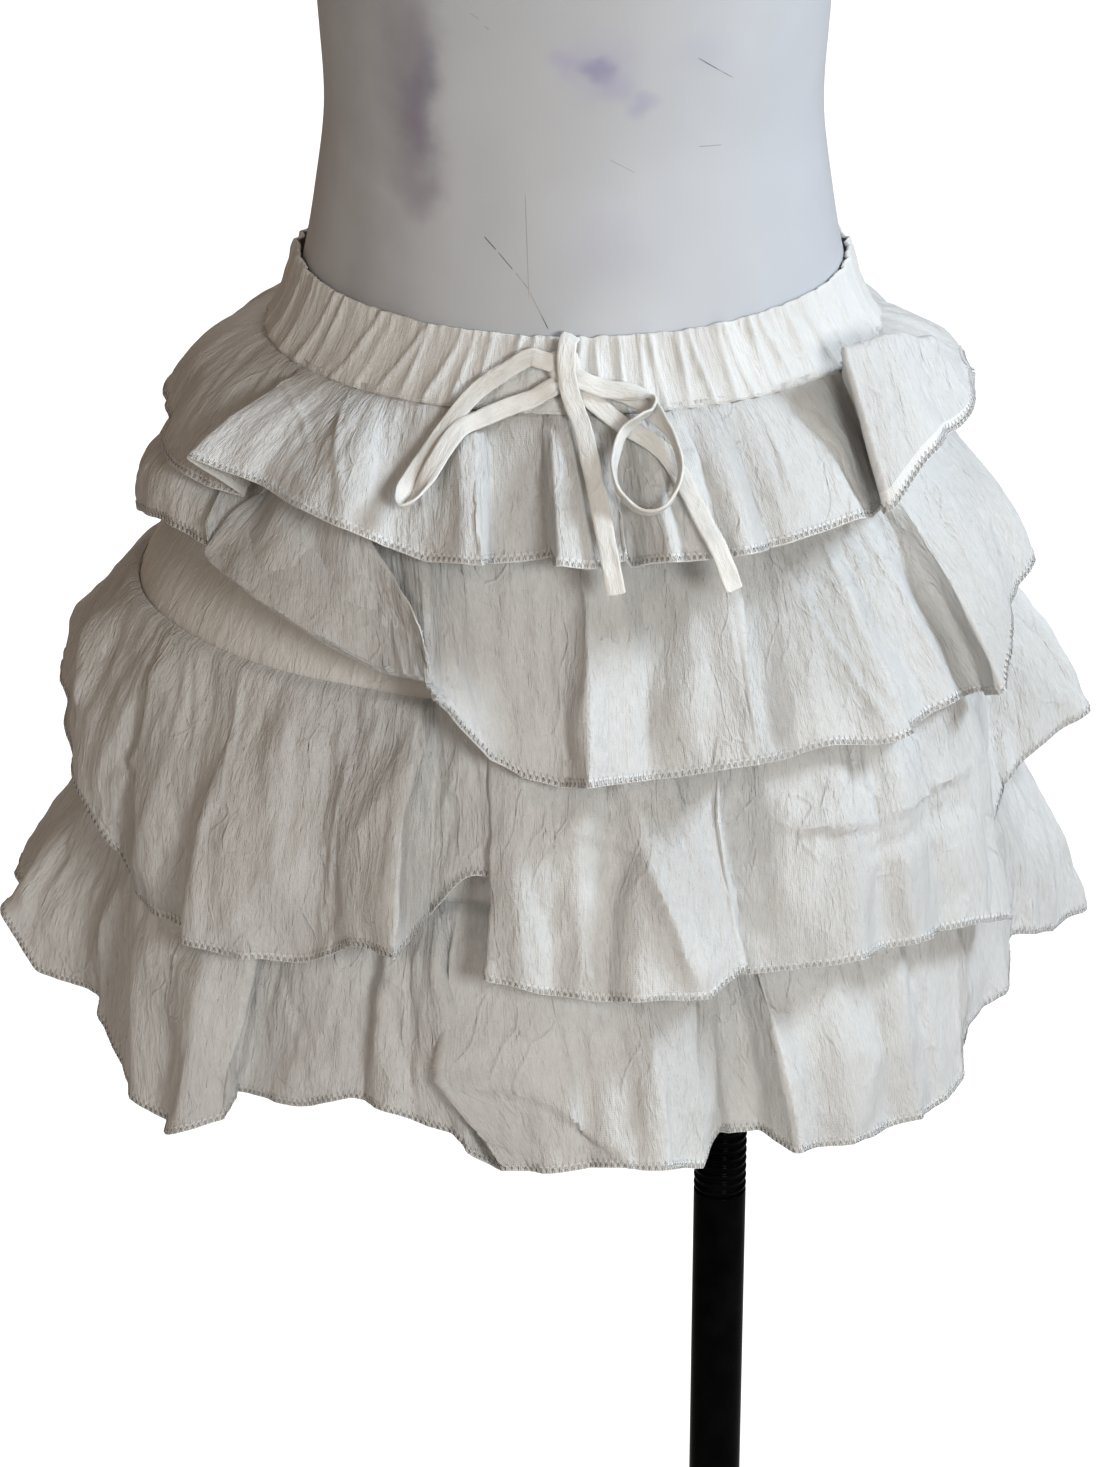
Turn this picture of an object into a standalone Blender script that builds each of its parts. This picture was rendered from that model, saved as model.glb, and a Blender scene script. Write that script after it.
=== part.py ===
"""Tiered skort on a limbless dress form with a pole stand.

Metres, +Z up. The origin is the centre of the stand's underside, on the pole's axis.
The wearer's front faces -Y, and the wearer's left is +X. The form's upright axis is
77 mm to the wearer's right of the pole (FORM_AXIS_X), because the pole rises inside
the left leg opening.

The skort is an elastic waistband, a base skirt and four gathered tiers sewn round it,
each tier in a front and a back piece, with shorts under it and a flat tie in front.

Every tier is a table of folds. A fold is one line down the cloth, from the gathering
seam to the hem, and the cloth runs from each fold to the next one.
"""
import math

import bpy
import numpy as np

MM = 0.001
FORM_AXIS_X = -0.077     # upright axis of the form and of the skort
CLOTH = 1.3 * MM         # wall of the cotton cloth
BAND_WALL = 2.2 * MM     # two layers of cloth round an elastic
SEAM_TRIM = 0.013        # how far a piece stops short of a side seam, as a share of a fold
TURN_AT = 0.55           # where along its length a turned-up fold line lies
TURN_HALF = 0.05         # half of the rounding there
WIDE_FOLD = 10.0         # degrees: wider than this, a fold gets a line midway

TIE_WIDTH = 8.6 * MM
TIE_WALL = 1.4 * MM

POLE_RADIUS = 13.5 * MM
THREAD_RADIUS = 13.6 * MM
THREAD_LOW, THREAD_HIGH = 484 * MM, 534 * MM
THREAD_PITCH, THREAD_DEPTH = 5.0 * MM, 1.2 * MM
BASE_RADIUS, BASE_EDGE, BASE_HEIGHT = 175 * MM, 7 * MM, 16 * MM
SOCKET_RADIUS, SOCKET_HEIGHT = 24 * MM, 62 * MM

# Waistband, outer face, millimetres: height, half width, half depth, dip in front.
BAND = (
    (1000, 130, 101.8, -8),
    (990, 133, 105.8, -6),
    (975, 139, 113, -2),
    (963, 146, 121, 0),
)

# Base skirt, outer face: height, half width on the wearer's right, on the left, half depth.
BASE_SKIRT = (
    (961.4, 145.0, 145.0, 120.0),
    (925, 158.8, 156.8, 129.8),
    (880, 183, 173, 145),
    (838, 209, 192, 160),
    (785, 216, 200.5, 169),
    (735, 218, 206.6, 176),
)

# Shorts, outer face of one leg: height, how far its centre is out, half width, half depth.
SHORTS = (
    (960.4, 0, 142.0, 116.4),
    (925, 0, 152.5, 122),
    (880, 0, 164, 131),
    (838, 4, 164, 134),
    (795, 14, 154, 134),
    (765, 36, 132, 128),
    (743, 61, 107, 117),
    (728, 77, 90, 109),
    (718, 84.5, 83.6, 106),
    (696, 87, 82.5, 103),
    (670, 89, 82, 101),
)

# Gathering seam of each tier, inner face: half width right, left, half depth, height.
SEAMS = {
    1: (147.5, 147.5, 122.5, 961),
    2: (160.5, 158.5, 131.5, 926),
    3: (211.5, 194.5, 162.5, 838),
    4: (220, 208.5, 178, 742),
}

# Fold tables, inner face of the cloth. Columns:
#   seam    degrees round the form at the gathering seam, 0 in front, + to the wearer's left
#   hem     degrees at the hem
#   reach   millimetres from the form's axis to the hem
#   height  of the hem, millimetres
#   swell   how far the line bows out between seam and hem, millimetres
#   soft    how rounded the fold is, from 0 to 0.5 of the way to the next one
#   turn    only where the hem is turned up: degrees, reach and height of the fold line
TIERS = {
    1: (
        (-178, -178, 186, 918, 5, 0.40),
        (-168, -165, 198, 921, 4, 0.20),
        (-158, -161, 178, 912, 2, 0.20),
        (-146, -143, 196, 919, 4, 0.30),
        (-133, -132, 182, 915, 3, 0.40),
        (-120, -119, 200, 921, 5, 0.30),
        (-106, -105, 196, 917, 4, 0.50),
        (-92, -92, 199, 919, 9, 0.50),
        (-78, -73, 197, 915, 5, 0.40),
        (-68, -62, 189, 914, 2, 0.15),
        (-65, -57, 178, 912, 0, 0.15),
        (-62, -58, 201, 935, 3, 0.06),
        (-50, -46, 190, 930, 3, 0.40),
        (-42, -33, 190, 926, 3, 0.40),
        (-37, -27, 190, 919, 3, 0.10),
        (-29, -21.5, 187, 915, 3, 0.30),
        (-21, -12.2, 190, 918, 3, 0.05),
        (-18, -12.5, 170, 910, -1, 0.10),
        (-7, -4, 167, 914, -1, 0.10),
        (-5, -2, 186, 917, 2, 0.06),
        (1, 2.5, 184, 914, 2, 0.30),
        (7, 7.4, 187, 921, 3, 0.10),
        (9, 8.4, 177, 912, 0, 0.15),
        (13, 13, 188, 918, 3, 0.30),
        (20, 18.5, 190, 918, 3, 0.40),
        (27, 23.5, 192, 918, 3, 0.15),
        (33, 29, 186, 916, 1, 0.30),
        (42, 36, 190, 920, 3, 0.30),
        (49, 42.5, 190, 921, 3, 0.30),
        (54, 47, 182, 914, 0, 0.15),
        (61, 60, 176, 912, -1, 0.20),
        (63, 46, 197, 922, 4, 0.06, 51.5, 155, 985),
        (68, 55, 195, 940, 5, 0.30, 62.5, 161, 986),
        (76, 66, 194, 940, 6, 0.30, 71.5, 170, 975),
        (84, 82, 192, 947, 5, 0.15, 82.5, 175, 960),
        (95, 96, 186, 938, 5, 0.30),
        (106, 107, 184, 922, 3, 0.40),
        (118, 118, 198, 921, 4, 0.30),
        (131, 130, 182, 914, 3, 0.30),
        (143, 144, 197, 920, 4, 0.25),
        (156, 155, 181, 914, 2, 0.30),
        (169, 168, 199, 922, 4, 0.25),
    ),
    2: (
        (-179, -179, 214, 822, 6, 0.40),
        (-168, -170, 194, 814, 4, 0.30),
        (-157, -156, 215, 823, 6, 0.25),
        (-146, -147, 200, 817, 4, 0.30),
        (-134, -135, 219, 826, 6, 0.30),
        (-122, -122, 208, 832, 5, 0.40),
        (-110, -108, 214, 852, 6, 0.40),
        (-98, -97, 205, 872, 12, 0.50),
        (-86, -84, 202, 877, 18, 0.50),
        (-76, -69, 201, 890, 10, 0.40),
        (-72, -60, 192, 886, 4, 0.15),
        (-69, -57, 157, 927, 0, 0.25, -57.5, 203, 884.5),
        (-60, -47.5, 162, 932, 0, 0.30, -46.5, 204, 876.5),
        (-50, -39, 165, 931, 0, 0.30, -33.5, 205, 865),
        (-42, -32.5, 170, 911, 0, 0.30, -24.5, 204, 860),
        (-36, -20.8, 194, 888.5, 0, 0.20, -19, 204, 859.5),
        (-30, -17.1, 203, 854.5, 0, 0.10, -17.4, 204, 858),
        (-25, -10.8, 204, 829, 3, 0.08),
        (-14, -6.2, 203, 821, 3, 0.30),
        (-6, -1.5, 200, 815, 2, 0.30),
        (2, 1.5, 207, 819, 4, 0.20),
        (14, 11, 205, 820, 4, 0.40),
        (26, 23.2, 211, 824, 5, 0.05),
        (28.5, 24.2, 186, 810, 0, 0.10),
        (33, 30, 190, 812, 0, 0.30),
        (37.5, 36, 200, 818, 2, 0.30),
        (40.5, 42, 198, 811, 3, 0.40),
        (43, 47.5, 206, 812, 3, 0.12),
        (48, 55, 205, 812, 3, 0.30),
        (53, 61, 204, 812, 1, 0.20),
        (57, 67.5, 205, 806, 0, 0.20),
        (61, 63.2, 221, 815, 5, 0.06),
        (73, 70, 219, 840, 6, 0.30),
        (84, 80, 220, 852, 7, 0.20),
        (95, 92, 210, 848, 6, 0.40),
        (106, 106, 216, 830, 6, 0.30),
        (118, 119, 203, 818, 3, 0.30),
        (130, 131, 217, 823, 6, 0.25),
        (142, 141, 199, 815, 3, 0.40),
        (154, 155, 218, 824, 6, 0.25),
        (167, 168, 202, 817, 4, 0.30),
    ),
    3: (
        (-179, -178, 232, 722, 7, 0.35),
        (-167, -168, 212, 715, 3, 0.30),
        (-156, -155, 236, 724, 7, 0.25),
        (-144, -144, 216, 716, 4, 0.30),
        (-132, -133, 240, 728, 8, 0.30),
        (-120, -120, 228, 732, 6, 0.40),
        (-108, -107, 248, 756, 8, 0.40),
        (-97, -96, 254, 772, 7, 0.50),
        (-86, -84, 252, 760, 9, 0.50),
        (-76, -74, 241, 742, 10, 0.40),
        (-65, -64, 230, 705, 8, 0.30),
        (-55, -53, 222, 704, 5, 0.30),
        (-46, -44, 221, 707, 5, 0.30),
        (-38, -37, 221, 712, 5, 0.30),
        (-30, -27, 219, 733, 5, 0.30),
        (-24, -20.5, 222, 732, 5, 0.06),
        (-22, -20, 197, 742, 0, 0.10),
        (-17, -14, 195, 766, 0, 0.30),
        (-13, -8, 197, 768, 1, 0.20),
        (-12, -10, 220, 726, 4, 0.10),
        (-6, -4, 222, 722, 5, 0.20),
        (2, 2, 220, 718, 4, 0.30),
        (8, 7, 222, 718, 4, 0.30),
        (15, 14.5, 220, 716, 5, 0.10),
        (22, 20.3, 224, 727, 6, 0.08),
        (25, 21.5, 206, 716, 0, 0.15),
        (33, 28, 217, 718, 2, 0.30),
        (42, 36, 222, 718, 3, 0.40),
        (50, 45, 226, 715, 4, 0.40),
        (60, 55, 227, 708, 3, 0.40),
        (68, 66, 231, 692, 3, 0.15),
        (74, 71, 212, 728, 1, 0.20),
        (79, 76, 211, 742, 1, 0.20),
        (83, 80, 230, 757, 3, 0.15),
        (88, 86, 250, 766, 7, 0.15),
        (100, 99, 236, 764, 7, 0.30),
        (112, 112, 238, 732, 7, 0.30),
        (124, 125, 218, 718, 4, 0.30),
        (136, 136, 238, 726, 7, 0.25),
        (148, 148, 216, 716, 4, 0.30),
        (160, 161, 236, 724, 7, 0.25),
        (171, 172, 217, 717, 4, 0.30),
    ),
    4: (
        (-179, -179, 236, 622, 6, 0.35),
        (-168, -168, 214, 616, 3, 0.30),
        (-157, -156, 238, 625, 7, 0.25),
        (-146, -145, 218, 617, 4, 0.30),
        (-134, -134, 244, 628, 8, 0.30),
        (-122, -121, 234, 634, 8, 0.40),
        (-110, -108, 264, 652, 7, 0.40),
        (-98, -94, 281, 660, 2, 0.40),
        (-88, -85, 282, 658, 2, 0.20),
        (-82, -81, 268, 634, 5, 0.15),
        (-76, -74, 239, 634, 5, 0.15),
        (-70, -68, 240, 610, 7, 0.30),
        (-60, -58, 239, 604, 7, 0.35),
        (-52, -51.5, 240, 605, 7, 0.20),
        (-46, -47, 229, 617, 4, 0.08),
        (-44, -50.5, 207, 620, 1, 0.15),
        (-38, -38, 205, 628, 1, 0.35),
        (-30, -31, 206, 642, 1, 0.20),
        (-25, -24, 208, 642, 2, 0.30),
        (-21, -15.5, 214, 637, 2, 0.30),
        (-19, -9.3, 214, 622, 2, 0.10),
        (-17, -8.4, 231, 632, 0, 0.08, -16.4, 224, 672),
        (-10, -2, 228, 632, 4, 0.30),
        (0, 4.6, 224, 634, 3, 0.30),
        (8, 10.5, 224, 630, 3, 0.30),
        (16, 16.2, 228, 628, 5, 0.08),
        (18, 19.5, 212, 636, 2, 0.10),
        (20, 21.5, 205, 630, 0, 0.30),
        (22, 25, 207, 630, 0, 0.20),
        (24, 27, 226, 627, 5, 0.08),
        (36, 34, 226, 624, 4, 0.40),
        (45, 44, 228, 620, 4, 0.30),
        (52, 51, 230, 618, 4, 0.15),
        (60, 58, 224, 617, 3, 0.20),
        (63, 60, 221, 640, 3, 0.15),
        (68, 66, 216, 640, 2, 0.15),
        (73, 71, 221, 640, 4, 0.15),
        (77, 75, 219, 664, 3, 0.20),
        (84, 82, 242, 653, 5, 0.12),
        (91, 89, 258, 650, 6, 0.15),
        (102, 101, 240, 648, 6, 0.30),
        (113, 112, 244, 634, 8, 0.30),
        (124, 124, 220, 620, 4, 0.30),
        (136, 136, 240, 627, 7, 0.25),
        (148, 149, 219, 618, 4, 0.30),
        (160, 161, 238, 625, 7, 0.25),
        (171, 171, 218, 617, 4, 0.30),
    ),
}
# The fold at each side seam, the wearer's right then left, and the lines down the length.
SIDE_SEAMS = {1: (7, 34), 2: (7, 34), 3: (7, 34), 4: (7, 38)}
DOWN = {
    1: (0, 0.2, 0.5, 0.6, 0.8, 1),
    2: (0, 0.15, 0.32, 0.5, 0.6, 0.8, 1),
    3: (0, 0.15, 0.35, 0.6, 0.8, 1),
    4: (0, 0.15, 0.35, 0.5, 0.6, 0.8, 1),
}

# The tie, its centre line in millimetres: across from the form's axis (+ to the wearer's
# left), out in front of it, height, and roll in degrees: 0 lies flat, 90 stands on edge.
TIE = {
    "tie_tail_front": (
        (-1.6, 103.2, 993.6, 0),
        (-2.9, 109.8, 993.6, 0),
        (-3.7, 115.8, 989.4, 0),
        (-3.6, 120.0, 983.0, 0),
        (-2.2, 122.8, 975.0, 0),
        (0.5, 126.0, 967.0, 0),
        (3.7, 133.6, 960.4, 0),
        (8.5, 155.0, 945.8, 0),
        (12.8, 176.5, 930.8, 0),
        (15.8, 191.0, 919.0, 0),
        (17.9, 194.5, 908.2, 0),
    ),
    "tie_loop_left": (
        (-15.4, 112.4, 986.0, 0),
        (-20.5, 110.9, 986.2, 0),
        (-30.0, 112.0, 980.8, 0),
        (-43.5, 115.6, 972.4, 0),
        (-56.0, 125.6, 960.6, 0),
        (-67.0, 140.6, 949.8, 0),
        (-74.5, 153.5, 941.8, 25),
        (-77.8, 160.2, 938.2, 80),
        (-76.0, 164.0, 936.6, 90),
        (-71.5, 161.5, 939.0, 60),
        (-65.5, 153.0, 945.8, 15),
        (-59.0, 142.0, 953.6, 0),
        (-51.5, 131.0, 959.8, 0),
        (-43.0, 126.0, 962.4, 0),
        (-29.0, 122.5, 967.4, 0),
        (-19.5, 121.0, 970.2, 0),
        (-14.4, 119.6, 972.8, 0),
    ),
    "tie_loop_right": (
        (4.4, 119.2, 978.2, 0),
        (12.0, 119.8, 975.0, 0),
        (22.0, 120.4, 974.0, 0),
        (30.0, 122.4, 973.4, 35),
        (35.2, 125.4, 971.8, 90),
        (33.6, 130.4, 968.4, 90),
        (28.5, 135.2, 967.0, 80),
        (21.4, 139.0, 961.0, 70),
        (17.4, 153.5, 953.0, 70),
        (18.6, 165.8, 946.4, 85),
        (25.3, 169.8, 939.0, 90),
        (33.2, 173.0, 937.8, 90),
        (40.2, 171.8, 940.6, 90),
        (45.6, 164.2, 947.4, 90),
        (46.6, 154.4, 953.8, 90),
        (43.4, 143.6, 961.4, 85),
        (38.4, 133.4, 965.4, 60),
        (32.6, 122.4, 967.4, 15),
        (24.0, 117.4, 970.6, 0),
        (13.0, 115.6, 973.6, 0),
        (4.8, 114.8, 976.0, 0),
    ),
    "tie_tail_side": (
        (6.8, 121.2, 970.6, 0),
        (12.0, 123.4, 966.8, 0),
        (21.2, 128.6, 961.2, 0),
        (32.2, 136.2, 957.6, 0),
        (41.5, 144.0, 951.8, 0),
        (48.8, 155.8, 944.0, 0),
        (57.4, 173.0, 932.0, 0),
        (62.2, 183.0, 926.4, 0),
        (66.0, 188.4, 919.0, 0),
        (69.8, 191.0, 908.8, 0),
    ),
}
# Knot: across, out, height, width, thickness, length, lean back in degrees.
KNOT = (-4.6, 111.9, 983.0, 14.0, 7.6, 14.0, 35)

# Dress form: height, half width, half depth, forward shift, millimetres.
FORM = (
    (742, 92, 66, 0),
    (745, 108, 80, 0),
    (752, 126, 96, 0),
    (766, 142, 111, 0),
    (785, 152, 120, 0),
    (810, 158, 125, 0),
    (845, 159, 126, 0),
    (880, 155.5, 123, 0),
    (915, 149.5, 118, 0),
    (945, 142, 112, 0),
    (972, 134, 103.4, 0),
    (1000, 126, 96.4, 0),
    (1030, 120.5, 92.5, 0),
    (1070, 115.4, 90, 0),
    (1110, 116.8, 91.5, 1),
    (1150, 120, 96, 3),
    (1190, 127.5, 103, 5),
    (1230, 136, 110, 7),
    (1265, 143, 112, 7),
    (1300, 150, 107, 4),
    (1335, 159, 98, 0),
    (1362, 167, 89, -3),
    (1384, 168, 80, -5),
    (1400, 160, 73, -7),
    (1412, 144, 69, -9),
    (1422, 120, 65, -10),
    (1432, 95, 62, -10),
    (1444, 73, 60, -9),
    (1460, 61, 58, -7),
    (1485, 56.5, 55.5, -4),
    (1512, 55, 54, -2),
    (1517, 53.5, 52.5, -2),
    (1520, 50, 49, -2),
)
FORM_SIDES = 28


def clear_scene():
    for obj in list(bpy.data.objects):
        bpy.data.objects.remove(obj, do_unlink=True)


def point(degrees, radius, height):
    """Millimetres round the form's axis to a point in metres."""
    t = math.radians(degrees)
    return np.array((FORM_AXIS_X + radius * MM * math.sin(t), -radius * MM * math.cos(t), height * MM))


def ring_radius(degrees, right, left, depth):
    """Radius of a ring that is an ellipse on each side."""
    t = math.radians(degrees)
    wide = right if math.sin(t) < 0 else left
    return 1.0 / math.hypot(math.sin(t) / wide, math.cos(t) / depth)


def seam_point(tier, degrees):
    right, left, depth, height = SEAMS[tier]
    return point(degrees, ring_radius(degrees, right, left, depth), height)


def fold_line(tier, row, v):
    """The line of one fold at the shares v of its length, from seam to hem."""
    seam, hem, reach, height, swell = row[:5]
    start, end = seam_point(tier, seam), point(hem, reach, height)
    v = np.asarray(v, float)[:, None]
    if len(row) > 6:
        turn = point(*row[6:9])
        before = start + (turn - start) * (v / TURN_AT)
        after = turn + (end - turn) * ((v - TURN_AT) / (1 - TURN_AT))
        a = start + (turn - start) * ((TURN_AT - TURN_HALF) / TURN_AT)
        b = turn + (end - turn) * (TURN_HALF / (1 - TURN_AT))
        q = (v - TURN_AT + TURN_HALF) / (2 * TURN_HALF)
        rounded = (1 - q) ** 2 * a + 2 * q * (1 - q) * turn + q**2 * b
        return np.where(np.abs(v - TURN_AT) < TURN_HALF, rounded, np.where(v < TURN_AT, before, after))
    middle = math.radians((seam + hem) / 2)
    out = np.array((math.sin(middle), -math.cos(middle), 0.55))
    control = (start + end) / 2 + 2 * swell * MM * out / np.linalg.norm(out)
    return (1 - v) ** 2 * start + 2 * v * (1 - v) * control + v**2 * end


def tier_line(tier, lines, u, v):
    """The line down the cloth at u, where 3.5 is midway between folds 3 and 4."""
    rows = TIERS[tier]
    count = len(rows)
    i = int(math.floor(u)) % count
    t = u - math.floor(u)
    j = (i + 1) % count
    here, there, before, after = lines[i], lines[j], lines[i - 1], lines[(j + 1) % count]
    soft_here, soft_there = rows[i][5], rows[j][5]
    if t < soft_here:
        a, b = here + soft_here * (before - here), here + soft_here * (there - here)
        q = 0.5 + t / (2 * soft_here)
        line = (1 - q) ** 2 * a + 2 * q * (1 - q) * here + q**2 * b
    elif t > 1 - soft_there:
        a, b = there + soft_there * (here - there), there + soft_there * (after - there)
        q = 0.5 - (1 - t) / (2 * soft_there)
        line = (1 - q) ** 2 * a + 2 * q * (1 - q) * there + q**2 * b
    else:
        line = here + t * (there - here)
    degrees = rows[i][0] + t * (rows[j][0] + (360 if j == 0 else 0) - rows[i][0])
    # At the gathering seam the cloth lies on the seam's own ring.
    return line + (seam_point(tier, degrees) - line[0]) * ((1 - np.asarray(v)) ** 3)[:, None]


def fold_places(tier, first, last):
    """Where the lines of a piece go: each fold, one midway in wide ones, and both edges."""
    rows = TIERS[tier]
    count = len(rows)
    places = [first + SEAM_TRIM]
    for k in range(first, last):
        if k > first:
            places.append(float(k))
        here, there = rows[k % count], rows[(k + 1) % count]
        if (there[1] - here[1]) % 360 > WIDE_FOLD and (there[1] - here[1]) % 360 < 180:
            places.append(k + 0.5)
    places.append(last - SEAM_TRIM)
    return places


def new_material(name, colour, roughness, metallic=0.0):
    material = bpy.data.materials.new(name)
    material.use_nodes = True
    shader = material.node_tree.nodes["Principled BSDF"]
    shader.inputs["Base Color"].default_value = (*colour, 1)
    shader.inputs["Roughness"].default_value = roughness
    shader.inputs["Metallic"].default_value = metallic
    return material


def add_mesh(name, points, faces, collection, colour, roughness, metallic=0.0, smooth=40):
    mesh = bpy.data.meshes.new(name)
    mesh.from_pydata([tuple(p) for p in points], [], faces)
    mesh.validate()
    mesh.shade_smooth()
    mesh.set_sharp_from_angle(angle=math.radians(smooth))
    obj = bpy.data.objects.new(name, mesh)
    collection.objects.link(obj)
    mesh.materials.append(new_material(name, colour, roughness, metallic))
    return obj


def sheet_faces(across, down, closed):
    """Quads of a grid of lines, facing away from the form."""
    faces = []
    for i in range(across if closed else across - 1):
        j = (i + 1) % across
        for k in range(down - 1):
            faces.append((i * down + k, i * down + k + 1, j * down + k + 1, j * down + k))
    return faces


def add_cloth(name, grid, collection, colour, closed=False, wall=CLOTH, outward=True):
    """A wall of cloth on a grid of lines, each running down the cloth."""
    grid = np.asarray(grid)
    across, down = grid.shape[:2]
    obj = add_mesh(name, grid.reshape(-1, 3), sheet_faces(across, down, closed), collection, colour, 0.85)
    solidify = obj.modifiers.new("wall", "SOLIDIFY")
    solidify.thickness = wall
    solidify.offset = 1.0 if outward else -1.0
    return obj


def build_tiers(collection):
    colours = {1: (0.78, 0.76, 0.72), 2: (0.77, 0.75, 0.71), 3: (0.76, 0.74, 0.70), 4: (0.75, 0.73, 0.69)}
    for tier, rows in TIERS.items():
        down = DOWN[tier]
        lines = [fold_line(tier, row, down) for row in rows]
        first, last = SIDE_SEAMS[tier]
        for side, start, stop in (("front", first, last), ("back", last, first + len(rows))):
            grid = [tier_line(tier, lines, u, down) for u in fold_places(tier, start, stop)]
            add_cloth(f"tier_{tier}_{side}", grid, collection, colours[tier])


def build_waistband(collection):
    grid = []
    for k in range(40):
        degrees = -180 + 9 * k
        dip = max(0.0, math.cos(math.radians(degrees)))
        grid.append([point(degrees, ring_radius(degrees, w, w, d), z + fall * dip) for z, w, d, fall in BAND])
    add_cloth("waistband", grid, collection, (0.79, 0.77, 0.73), closed=True, wall=BAND_WALL, outward=False)


def build_base_skirt(collection):
    for side, start, stop in (("front", -90, 90), ("back", 90, 270)):
        grid = []
        for degrees in np.linspace(start + 0.25, stop - 0.25, 17):
            grid.append([point(degrees, ring_radius(degrees, a, b, d), z) for z, a, b, d in BASE_SKIRT])
        add_cloth(f"base_skirt_{side}", grid, collection, (0.74, 0.72, 0.68), outward=False)


def build_shorts(collection):
    """Each leg is an oval that the middle plane cuts open above the crotch."""
    for name, side in (("shorts_right", -1), ("shorts_left", 1)):
        grid = []
        for k in range(15):
            line = []
            for height, centre, wide, deep in SHORTS:
                edge = max(0.008, math.acos(min(1.0, (centre - 0.3) / wide)))
                # From the front edge round the outer side to the back edge.
                turn = math.pi - edge
                angle = -turn + 2 * turn * k / 14
                across = centre + wide * math.cos(angle)
                line.append((FORM_AXIS_X + side * across * MM, deep * math.sin(angle) * MM, height * MM))
            grid.append(line)
        if side < 0:
            grid.reverse()
        add_cloth(name, grid, collection, (0.76, 0.74, 0.70), wall=1.2 * MM, outward=False)


def smooth_route(rows, parts):
    """A smooth curve through the rows, with this many parts between two of them."""
    rows = np.array(rows, float)
    ends = np.vstack((2 * rows[0] - rows[1], rows, 2 * rows[-1] - rows[-2]))
    route = []
    for i in range(len(rows) - 1):
        p0, p1, p2, p3 = ends[i : i + 4]
        for k in range(parts):
            t = k / parts
            route.append(
                0.5 * (2 * p1 + (p2 - p0) * t + (2 * p0 - 5 * p1 + 4 * p2 - p3) * t**2 + (3 * p1 - p0 - 3 * p2 + p3) * t**3)
            )
    route.append(rows[-1])
    return np.array(route)


def tie_frames(rows, parts=2):
    """Centre points of a stretch of tie, with its width and face directions."""
    route = smooth_route(rows, parts)
    centre = np.stack((FORM_AXIS_X + route[:, 0] * MM, -route[:, 1] * MM, route[:, 2] * MM), 1)
    along = np.gradient(centre, axis=0)
    along /= np.linalg.norm(along, axis=1)[:, None]
    out = np.stack((route[:, 0] / 146**2, -route[:, 1] / 121**2, np.zeros(len(route))), 1)
    out /= np.linalg.norm(out, axis=1)[:, None]
    out[:, 2] = 0.75
    width = np.cross(along, out)
    width /= np.linalg.norm(width, axis=1)[:, None]
    face = np.cross(width, along)
    roll = np.radians(route[:, 3])[:, None]
    turned = width * np.cos(roll) + face * np.sin(roll)
    return centre, turned, np.cross(turned, along)


def build_tie(collection):
    colour = (0.82, 0.80, 0.76)
    for name, rows in TIE.items():
        centre, width, face = tie_frames(rows)
        points, faces = [], []
        for c, w, f in zip(centre, width, face):
            for a, b in ((-1, -1), (1, -1), (1, 1), (-1, 1)):
                points.append(c + w * a * TIE_WIDTH / 2 + f * b * TIE_WALL / 2)
        last = len(centre) - 1
        for k in range(last):
            for a in range(4):
                b = (a + 1) % 4
                faces.append((4 * k + a, 4 * k + b, 4 * k + 4 + b, 4 * k + 4 + a))
        faces.append((3, 2, 1, 0))
        faces.append(tuple(4 * last + a for a in range(4)))
        obj = add_mesh(name, points, faces, collection, colour, 0.8)
        # Turn the strip's faces out if its route made them face in.
        volume = sum(
            float(np.dot(points[f[0]], np.cross(points[f[i]], points[f[i + 1]]))) for f in faces for i in range(1, len(f) - 1)
        )
        if volume < 0:
            obj.data.flip_normals()
    across, out, height, wide, thick, long_, lean = KNOT
    bpy.ops.mesh.primitive_cube_add(size=1)
    knot = bpy.context.object
    knot.name = knot.data.name = "tie_knot"
    for user in list(knot.users_collection):
        user.objects.unlink(knot)
    collection.objects.link(knot)
    for vertex in knot.data.vertices:
        vertex.co.x *= wide * MM
        vertex.co.y *= thick * MM
        vertex.co.z *= long_ * MM
    knot.location = (FORM_AXIS_X + across * MM, -out * MM, height * MM)
    knot.rotation_euler = (math.radians(-lean), 0, 0)
    bevel = knot.modifiers.new("round", "BEVEL")
    bevel.width = 2.6 * MM
    bevel.segments = 2
    knot.data.materials.append(new_material("tie_knot", colour, 0.8))


def build_form(collection):
    points, faces = [], []
    for height, wide, deep, forward in FORM:
        for k in range(FORM_SIDES):
            t = 2 * math.pi * k / FORM_SIDES
            points.append((FORM_AXIS_X + wide * MM * math.sin(t), -(deep * math.cos(t) + forward) * MM, height * MM))
    for i in range(len(FORM) - 1):
        for k in range(FORM_SIDES):
            m = (k + 1) % FORM_SIDES
            low, high = i * FORM_SIDES, (i + 1) * FORM_SIDES
            faces.append((low + k, low + m, high + m, high + k))
    faces.append(tuple(reversed(range(FORM_SIDES))))
    faces.append(tuple((len(FORM) - 1) * FORM_SIDES + k for k in range(FORM_SIDES)))
    add_mesh("form_torso", points, faces, collection, (0.72, 0.71, 0.70), 0.45, smooth=60)


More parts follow.
